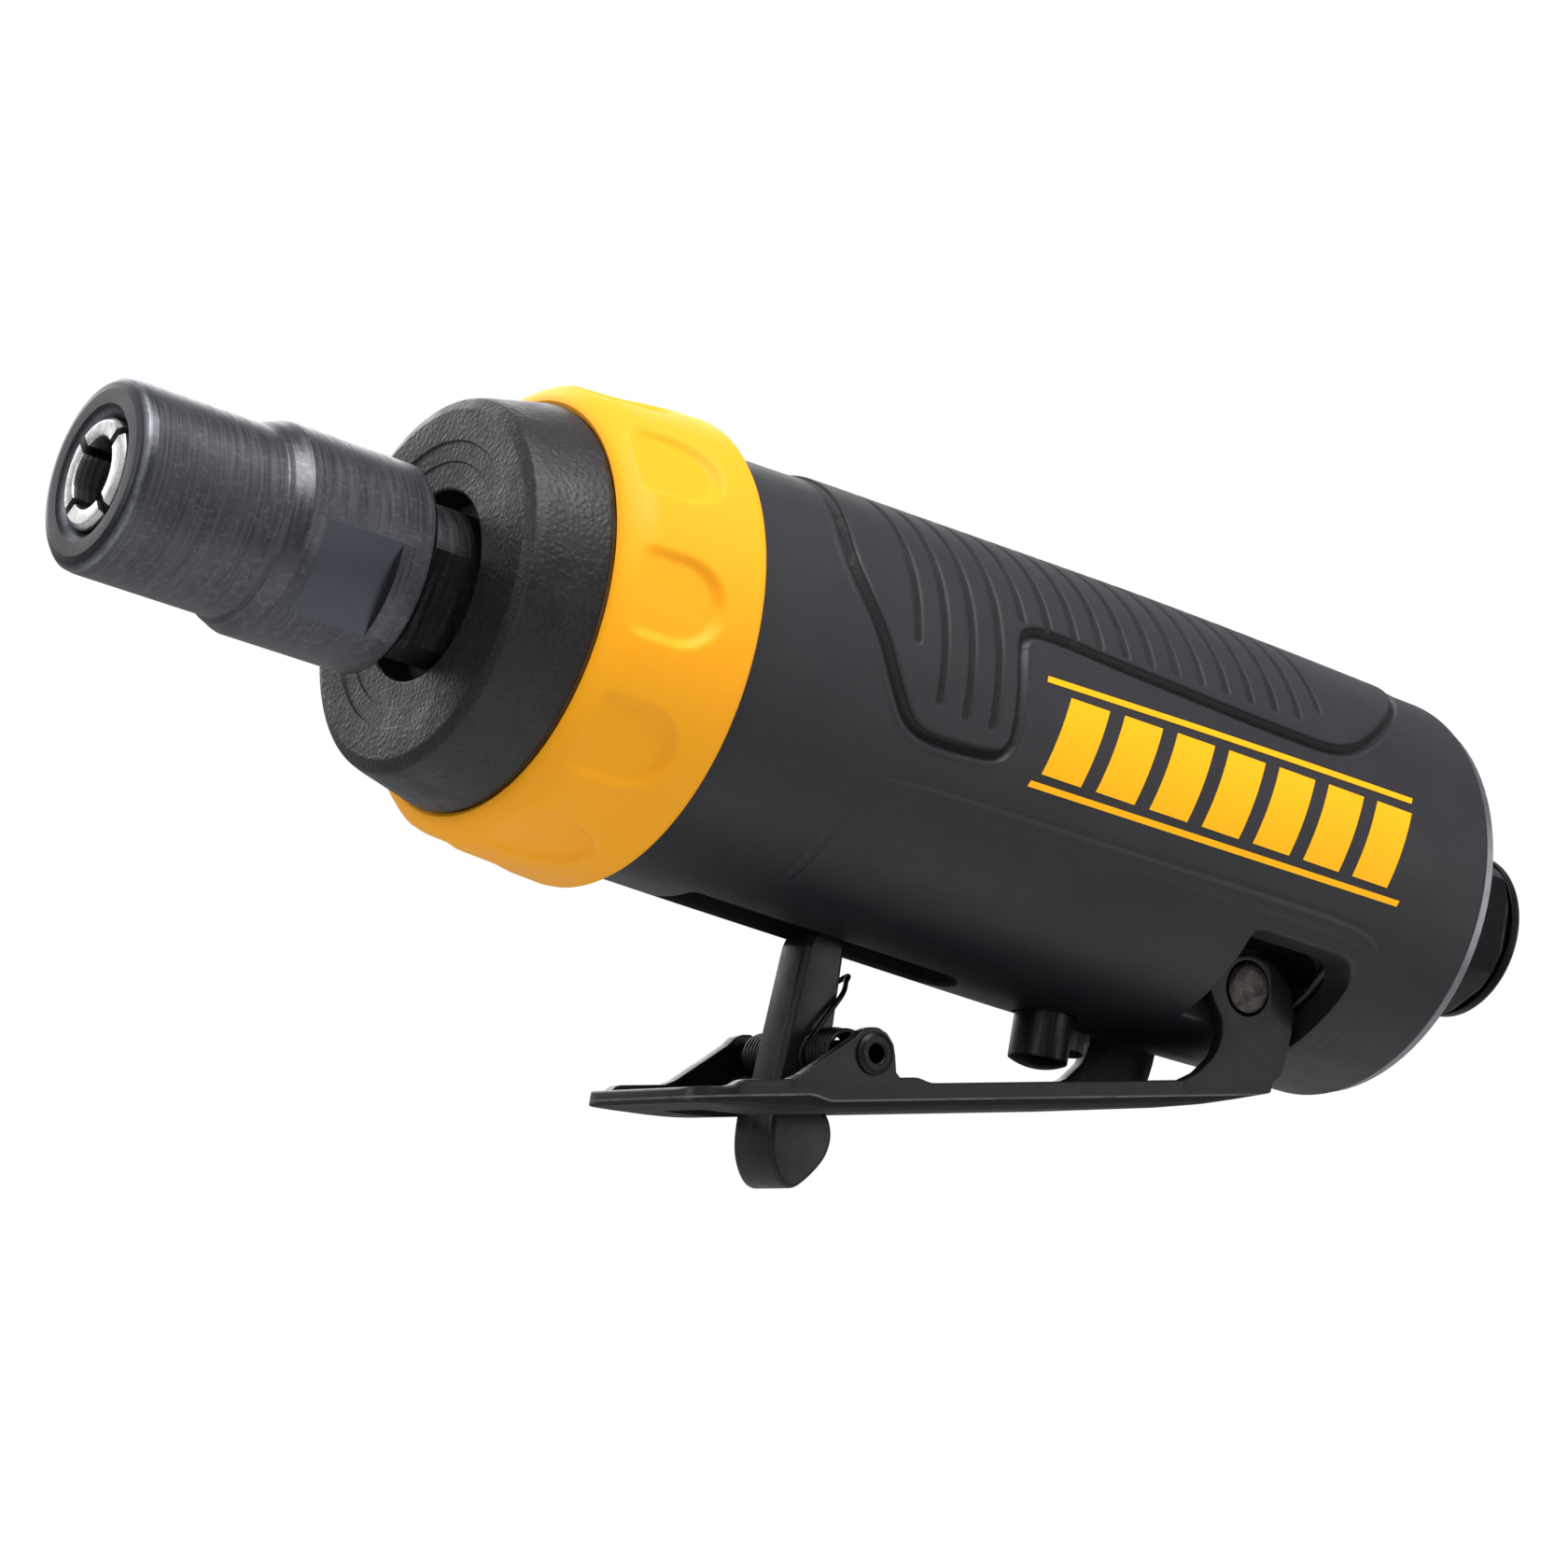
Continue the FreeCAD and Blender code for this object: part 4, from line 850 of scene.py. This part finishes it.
# ---- nose
def flat_blocks(x0, x1, half):
    """Cutters that leave two parallel flats."""
    made = []
    for z0, z1 in ((-FAR, -half), (half, FAR)):
        one = prism("flat", [(x0, z0), (x1, z0), (x1, z1), (x0, z1)], -FAR, FAR)
        made.append(turned(one, FLAT))
    return made


def make_nut():
    profile = rounded([(1.0, 5.0), (0.0, 6.0, 0.05), (0.0, 7.3, 0.2), (0.14, 7.9, 0.25), (0.6, 8.38, 0.3),
                       (1.4, 8.5, 0.4), (13.95, 8.5, 0.25), (14.35, 8.92, 0.2), (15.6, 9.42, 0.12),
                       (15.9, 9.5, 0.2), (27.9, 9.5, 0.25), (28.5, 8.95, 0.2), (28.5, 7.4, 0.2), (27.0, 7.4, 0),
                       (26.7, 6.65, 0), (3.2, 6.65, 0), (1.55, 5.0)], 5)
    nut = lathe("collet_nut_skin", profile, 240)
    return bevelled(cut(nut, *flat_blocks(*NUT_FLATS)), 0.08, 2, 32.0)


def make_collet():
    profile = rounded([(0.02, 3.2, 0.15), (0.0, 4.5, 0.15), (0.4, 4.9, 0.15), (1.6, 4.9, 0), (2.9, 6.18, 0.2),
                       (4.6, 6.18, 0.2), (5.3, 5.45, 0.2), (9.0, 5.38, 0.3), (20.0, 4.3, 0.2), (20.0, 3.2, 0.1)], 4)
    body = lathe("collet_skin", profile, 144)
    slits = []
    for k in range(4):
        slit = prism("slit", [(-1, 0.5), (15, 0.5), (15, 9), (-1, 9)], -0.45, 0.45)
        slits.append(turned(slit, math.radians(47 + 90 * k)))
    return cut(body, *slits)


def make_holder():
    profile = rounded([(8.0, 5.65, 0), (8.0, 6.3, 0.1), (8.3, 6.55, 0.1), (27.2, 6.55, 0), (27.6, 7.0, 0.12),
                       (36.2, 7.0, 0.2), (36.2, 5.4, 0.2), (48.0, 5.4, 0), (48.0, 3.95, 0), (32.0, 3.95, 0),
                       (31.0, 3.6, 0), (21.5, 3.6, 0), (21.5, 4.35, 0)], 5)
    body = lathe("collet_holder_skin", profile, 160)
    return bevelled(cut(body, *flat_blocks(28.3, 34.6, 5.5)), 0.1, 2, 32.0)


piece(make_nut(), "nut", "black_steel", NUT, "collet_nut")
piece(make_collet(), "collet", "bright_steel", COLLET, "collet")
piece(make_holder(), "spindle", "black_steel", HOLDER, "collet_body")


# ---- air inlet
def make_inlet():
    """Hex with chamfered corners and a collar; the pipe thread is a stack of grooves."""
    corner = HEX_FLATS / math.sqrt(3)
    angles = [math.radians(60 * k) for k in range(6)]
    ends = [[(x, -corner * math.sin(a), corner * math.cos(a)) for a in angles] for x in (143.42, 156.4)]
    nut = two_ended("hex", *ends)
    cone = lathe("cone", [(143.0, 0.0), (143.0, corner), (155.3, corner), (156.39, corner - 1.05),
                          (156.39, 0.0)], 120)
    cut(nut, cone, operation="INTERSECT")
    bevelled(nut, 0.18, 2, 32.0)
    threads = []
    x = 157.6
    while x > 147.2:
        threads += [(x, 5.72), (x - 0.62, 6.28)]
        x -= 1.41
    mouth = [(158.6, 0.0), (158.6, 6.5), (158.0, 6.3)]
    end = [(146.2, 5.7), (146.2, 4.5), (143.2, 4.5), (143.2, 0.0)]
    cut(nut, lathe("bore", mouth + threads + end, 96))
    collar = rounded([(156.42, 6.2, 0), (156.42, 7.85, 0.1), (156.95, 7.85, 0.05), (157.0, 8.38, 0.15),
                      (158.18, 8.38, 0.35), (158.18, 6.45, 0.15), (157.7, 6.25, 0)], 4)
    ring = lathe("collar", collar, 120)
    return join([nut, ring], "inlet_bushing_skin")


piece(make_inlet(), "casing", "black_steel", INLET, "inlet_bushing")


# ---- plunger and regulator
def make_plunger():
    rim, tip, side = -24.75, -25.5, 2.85
    ball = (side ** 2 + (rim - tip) ** 2) / (2 * (rim - tip))
    dome = [(tip + ball - math.sqrt(ball ** 2 - r ** 2), r) for r in np.linspace(0.0, side - 0.06, 10)]
    profile = dome + rounded([(rim - 0.03, side - 0.05), (rim + 0.12, side, 0.1), (-12.6, side, 0.3),
                              (-12.6, 1.2, 0), (-5.6, 1.2, 0.1), (-5.6, 0.0)], 5, closed=False)
    return stand(lathe("throttle_plunger_skin", profile, 96, 24.0), VALVE_X, 0.0)


piece(make_plunger(), "throttle", "plunger_steel", PLUNGER, "throttle_plunger")


def make_valve_spring():
    """Compression spring with flattened end turns, between the poppet and the valve chamber's roof."""
    low, high = [corner[2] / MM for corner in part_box("valve_spring")]
    wire_radius, coil, per_turn = 0.3, 2.15, 24
    turns, seat = 7.0, 0.9                   # seat: how much of a turn lies flat at each end
    points = []
    for k in range(int(turns * per_turn) + 1):
        so_far = k / per_turn
        rise = min(max((so_far - seat) / (turns - 2 * seat), 0.0), 1.0)
        ends = min(so_far, seat) / seat + max(so_far - turns + seat, 0.0) / seat
        z = low + wire_radius + 0.5 * wire_radius * ends
        z += rise * (high - low - 3.0 * wire_radius)
        angle = 2 * math.pi * so_far
        points.append((VALVE_X + coil * math.cos(angle), coil * math.sin(angle), z))
    return wire("valve_spring_wire", points, wire_radius, 3)


valve_spring = piece(make_valve_spring(), "casing", "spring_steel", SPRING, "valve_spring")
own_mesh(valve_spring)


# ---- lever
TIP, TAIL = 64.1, 127.6
LEVER_FINISH = dict(solver="MANIFOLD", angle=27.0)


def on_plate(x, height, radius=0.0):
    """Corner at a height above the lever's sloping plate line."""
    return x, KNEE[1] - SLOPE * (KNEE[0] - x) + height, radius


def lever_section(x, inset):
    """Points across the pressed channel at x, as (y, height above the plate line)."""
    corner = 4.0
    reach = max(0.0, corner - (x - TIP))
    half = HALF - corner + math.sqrt(max(corner ** 2 - reach ** 2, 0.0)) - inset
    top = 0.55 * (step(x, 66.9, 67.9) - step(x, 86.2, 88.4)) - inset
    floor = -1.2 * step(x, 66.8, 69.8) - inset
    swell = math.sin(min(1.0, max(0.0, (x - 64.5) / 12.0)) * math.pi / 2) ** 1.2
    base = -SHEET - 1.22 * swell + inset
    base += np.interp(x, [115.0, 117.0, 120.3, 123.8, 125.3, TAIL], [0.0, 0.1, 0.27, 0.69, 0.92, 1.22])
    crease = -0.87 - 0.63 * step(x, 75.0, 78.0)
    crease = np.interp(x, [TIP, 66.6], [-1.25, crease]) + inset
    crease = max(crease, base + 0.12)
    drop = crease - base
    bend = min(1.9, drop * 1.7)
    wall = half - SHEET
    right = [(wall, floor, 0.45), (wall, top, 0.22)]
    right += [(half, top, 0.22), (half, crease, 0.06), (half - 0.18 * bend, crease - 0.54 * drop, 0.3),
              (half - 0.53 * bend, crease - 0.88 * drop, 0.4), (half - bend, base, 0.5)]
    left = [(-y, h, r) for y, h, r in reversed(right)]
    return rounded(right + left, 4)


def make_channel():
    """The dished plate with its low side walls, lofted through sections along X."""
    stations = [TIP + d for d in (0, 0.06, 0.2, 0.45, 0.8, 1.15)]
    stations += np.arange(65.6, 127.0, 0.5).tolist() + [TAIL - 0.2, TAIL - 0.05, TAIL]
    insets = {TIP: 0.2, TIP + 0.06: 0.08, TIP + 0.2: 0.0, TAIL - 0.05: 0.06, TAIL: 0.18}
    verts, faces = [], []
    for x in stations:
        verts += [(x, y, on_plate(x, h)[1]) for y, h in lever_section(x, insets.get(x, 0.0))]
    n = len(verts) // len(stations)
    last = len(verts) - n
    for a in range(0, last, n):
        faces += [(a + j, a + (j + 1) % n, a + n + (j + 1) % n, a + n + j) for j in range(n)]
    faces += [tuple(reversed(range(n))), tuple(range(last, last + n))]
    return tidy(new_object("channel", verts, faces), 0.001, 27.0)


def make_lever():
    """Channel with a slot for the latch, united with its two ears and two perches."""
    px, pz = PIVOT
    lx, lz = LATCH
    channel = make_channel()
    plan = rounded([(69.1, -3.4, 0.8), (84.0, -3.4, 0.8), (84.0, 3.4, 0.8), (69.1, 3.4, 0.8)], 5)
    cut(channel, plan_prism("slot", plan, -42.0, -28.0), **LEVER_FINISH)
    ear = rounded([on_plate(116.6, -1.1), on_plate(116.9, 0.04), on_plate(118.5, 0.7, 1.6),
                   (120.2, -21.6, 2.5), (120.6, -19.6, 1.8), (120.2, -17.9, 1.4), (119.0, -16.6, 0.9),
                   (118.2, -15.5, 1.0), (118.6, -13.6, 1.6), (120.2, -11.9, 1.8), (122.7, -11.1, 2.2),
                   (125.2, -11.3, 2.2), (127.2, -12.4, 2.0), (128.4, -13.9, 1.6), (128.8, -15.5, 1.6),
                   (129.0, -17.2, 2.0), (128.8, -19.8, 2.0), (128.5, -21.6, 1.0),
                   on_plate(127.55, -0.5, 0.3), on_plate(127.5, -1.1)], 6)
    perch = rounded([on_plate(72.7, -0.4), on_plate(72.9, 0.58), on_plate(73.9, 0.95, 0.8),
                     (78.9, lz + 0.9, 1.0), (79.6, lz + 1.8, 0.9), (80.3, lz + 2.2, 0.9), (lx, lz + 2.4, 1.2),
                     (82.3, lz + 2.1, 1.0), (83.2, lz + 1.3, 0.9), (83.6, lz + 0.3, 0.9),
                     on_plate(84.0, 1.0, 0.4), on_plate(84.5, 0.58, 0.3), on_plate(84.6, -0.4)], 6)
    wings = []
    for y0, y1 in ((-HALF - 0.02, -HALF + SHEET), (HALF - SHEET, HALF + 0.02)):
        for outline, hole, segments, x, z in ((ear, 2.62, 72, px - 0.1, pz - 0.1), (perch, 1.4, 48, lx, lz)):
            wing = prism("wing", outline, y0, y1)
            cut(wing, stand(rod_cutter("hole", hole, segments=segments), x, z, "Y"))
            wings.append(bevelled(wing, 0.16, 3, 40.0))
    cut(channel, *wings, operation="UNION", **LEVER_FINISH)
    channel.name = "throttle_lever_skin"
    return channel


piece(make_lever(), "lever", "black_paint", ENAMEL, "throttle_lever")


def both_ends(half):
    """Profile of a symmetrical pin from the corners of its left half."""
    return half + [(-x, r, corner) for x, r, corner in reversed(half)]


def make_lever_pin():
    profile = rounded(both_ends([(-10.85, 0.0, 0), (-10.84, 1.6, 0.6), (-10.75, 2.1, 0.15),
                                 (-10.45, 2.42, 0.15)]), 5)
    return stand(lathe("lever_pin_skin", profile, 80, 24.0), *PIVOT, axis="Y")


piece(make_lever_pin(), "casing", "pin_steel", PIN, "lever_pin")


def make_latch_pin():
    """Hollow rivet with a rolled rim at each end."""
    profile = rounded(both_ends([(-10.95, 0.85, 0.2), (-10.98, 1.5, 0.15), (-10.75, 1.93, 0.15),
                                 (-10.52, 1.95, 0.05), (-10.5, 1.39, 0)]), 4)
    return stand(lathe("latch_pin_skin", profile, 72), *LATCH, axis="Y")


piece(make_latch_pin(), "lever", "pin_steel", RIVET, "latch_pin")


# ---- safety latch and its spring
def make_latch():
    post_side = rounded([(76.85, -35.8), (77.8, -21.0, 1.0), (78.2, -19.9, 0.8), (79.0, -19.1, 0.6),
                         (81.2, -19.1, 0.5), (81.9, -19.6, 0.5), (82.2, -20.6, 1.0), (82.5, -28.0, 3.0),
                         (82.5, -35.8)], 5)
    tab_side = chaikin([(76.8, -35.4), (79.6, -35.4), (82.5, -35.4), (83.3, -36.4), (83.7, -37.7), (83.5, -39.2),
                        (82.8, -40.5), (81.6, -42.0), (80.5, -43.0), (79.3, -43.1), (78.2, -42.3), (77.3, -40.8),
                        (76.9, -39.2), (76.8, -37.4)], 2)
    upright = bevelled(prism("post", post_side, -2.2, 2.2), 0.75, 1, 50.0)
    bevelled(upright, 0.12, 2, 22.0, 24.0)
    tab = bevelled(prism("tab", tab_side, -3.0, 3.0), 0.5, 4, 50.0)
    boss = rounded(both_ends([(-2.35, 0.0, 0), (-2.35, 2.3, 0.2)]), 3)
    boss = stand(lathe("boss", boss, 64), *LATCH, "Y")
    return join([upright, tab, boss], "safety_latch_skin")


piece(make_latch(), "latch", "latch_plastic", LATCH_SKIN, "safety_latch")


def make_latch_spring():
    """Two close-wound coils on the pin, each with a loose inner turn; their arms meet in a hook behind the post."""
    lx, lz = LATCH
    wire_radius, coil, per_turn = 0.25, 2.2, 20
    leave = math.radians(150.0)              # where the wire leaves the coil for the hook
    inner, outer = 3.3, 6.5
    steps = int(6.25 * per_turn)
    parts, arms = [], []
    for side in (-1, 1):
        points = []
        for k in range(steps + 1):
            a = leave - 2 * math.pi * (k - steps) / per_turn
            points.append((lx + coil * math.cos(a), side * (outer + (inner - outer) * k / steps),
                           lz + coil * math.sin(a)))
        parts.append(wire("coil", points, wire_radius, 3))
        arms.append([points[-1], (79.6, side * 3.1, -28.9), (81.0, side * 2.8, -26.6), (82.3, side * 2.6, -24.7),
                     (83.1, side * 1.7, -23.7), (83.8, side * 0.6, -22.9), (84.2, side * 0.34, -22.45)])
        parts.append(wire("turn", [(80.3, side * 3.0, -28.7), (81.6, side * 3.0, -27.9), (83.2, side * 3.1, -27.8),
                                   (84.4, side * 3.3, -28.8), (84.3, side * 3.5, -30.2), (83.0, side * 3.7, -31.3),
                                   (81.8, side * 3.8, -32.5)], wire_radius, 8))
    parts.append(wire("hook", arms[0] + [(84.45, 0.0, -22.2)] + arms[1][::-1], wire_radius, 8))
    return join(parts, "latch_spring_wire")


piece(make_latch_spring(), "latch", "spring_steel", SPRING, "latch_spring")


# ---- studio
def set_stage():
    """Pale floor, and a world that is white to the camera and a soft sky to everything else."""
    bpy.ops.mesh.primitive_plane_add(size=12.0, location=(0.08, 0.0, -0.66))
    floor = bpy.context.object
    floor.name = "studio_floor"
    put(floor, floor_paint("pale_floor"))

    world = bpy.data.worlds.new("studio")
    bpy.context.scene.world = world
    world.use_nodes = True
    nodes, links = world.node_tree.nodes, world.node_tree.links
    nodes.clear()
    kinds = ("OutputWorld", "LightPath", "MixShader", "Background", "Background", "TexCoord", "SeparateXYZ",
             "MapRange")
    output, path, mix, seen, light, where, split, sky = [nodes.new("ShaderNode" + kind) for kind in kinds]
    Paint.set(seen, {"Color": (1, 1, 1, 1), "Strength": 1.0})
    Paint.set(light, {"Color": (0.93, 0.96, 1.0, 1)})
    Paint.set(sky, {"From Min": -1.0, "To Min": 0.14, "To Max": 0.56})
    links.new(where.outputs["Generated"], split.inputs[0])
    links.new(split.outputs[2], sky.inputs["Value"])
    links.new(sky.outputs[0], light.inputs["Strength"])
    links.new(path.outputs["Is Camera Ray"], mix.inputs[0])
    links.new(light.outputs[0], mix.inputs[1])
    links.new(seen.outputs[0], mix.inputs[2])
    links.new(mix.outputs[0], output.inputs["Surface"])


def area_light(name, place, size, power, colour=(1, 1, 1), target=(0.08, 0.0, 0.0)):
    data = bpy.data.lights.new(name, "AREA")
    data.shape = "RECTANGLE"
    data.size, data.size_y = size
    data.energy = power
    data.color = colour
    obj = linked(name, data)
    obj.location = place
    obj.rotation_euler = (Vector(target) - Vector(place)).to_track_quat("-Z", "Y").to_euler()


def set_lights():
    cool = (0.97, 0.98, 1.0)
    area_light("key", (-0.12, -0.32, 0.62), (0.7, 0.5), 8.4, (1.0, 0.985, 0.97))
    area_light("front", (-0.55, -0.45, 0.05), (0.45, 0.6), 0.6, cool)
    area_light("left", (-0.5, 0.22, 0.16), (0.22, 0.22), 0.8, cool, target=(0.02, 0.0, 0.0))
    area_light("side", (0.55, -0.55, 0.12), (0.5, 0.7), 1.3)
    area_light("under", (0.02, -0.3, -0.5), (0.9, 0.5), 0.3)
    area_light("back", (0.1, 0.6, 0.35), (0.8, 0.5), 3.5)


def set_camera():
    data = bpy.data.cameras.new("photo_camera")
    data.sensor_width, data.lens = 36.0, 111.4286
    data.clip_start, data.clip_end = 0.01, 20.0
    camera = linked("photo_camera", data)
    forward = Vector((0.5485, 0.8087, 0.2123)).normalized()
    down = Vector((0.2609, 0.0757, -0.9624))
    down = (down - forward * down.dot(forward)).normalized()
    right = down.cross(forward)
    place = Matrix((right, -down, -forward)).transposed().to_4x4()
    place.translation = (-0.1684, -0.3570, -0.1006)
    camera.matrix_world = place
    bpy.context.scene.camera = camera


set_stage()
set_lights()
set_camera()
bpy.context.scene.view_settings.view_transform = "Standard"
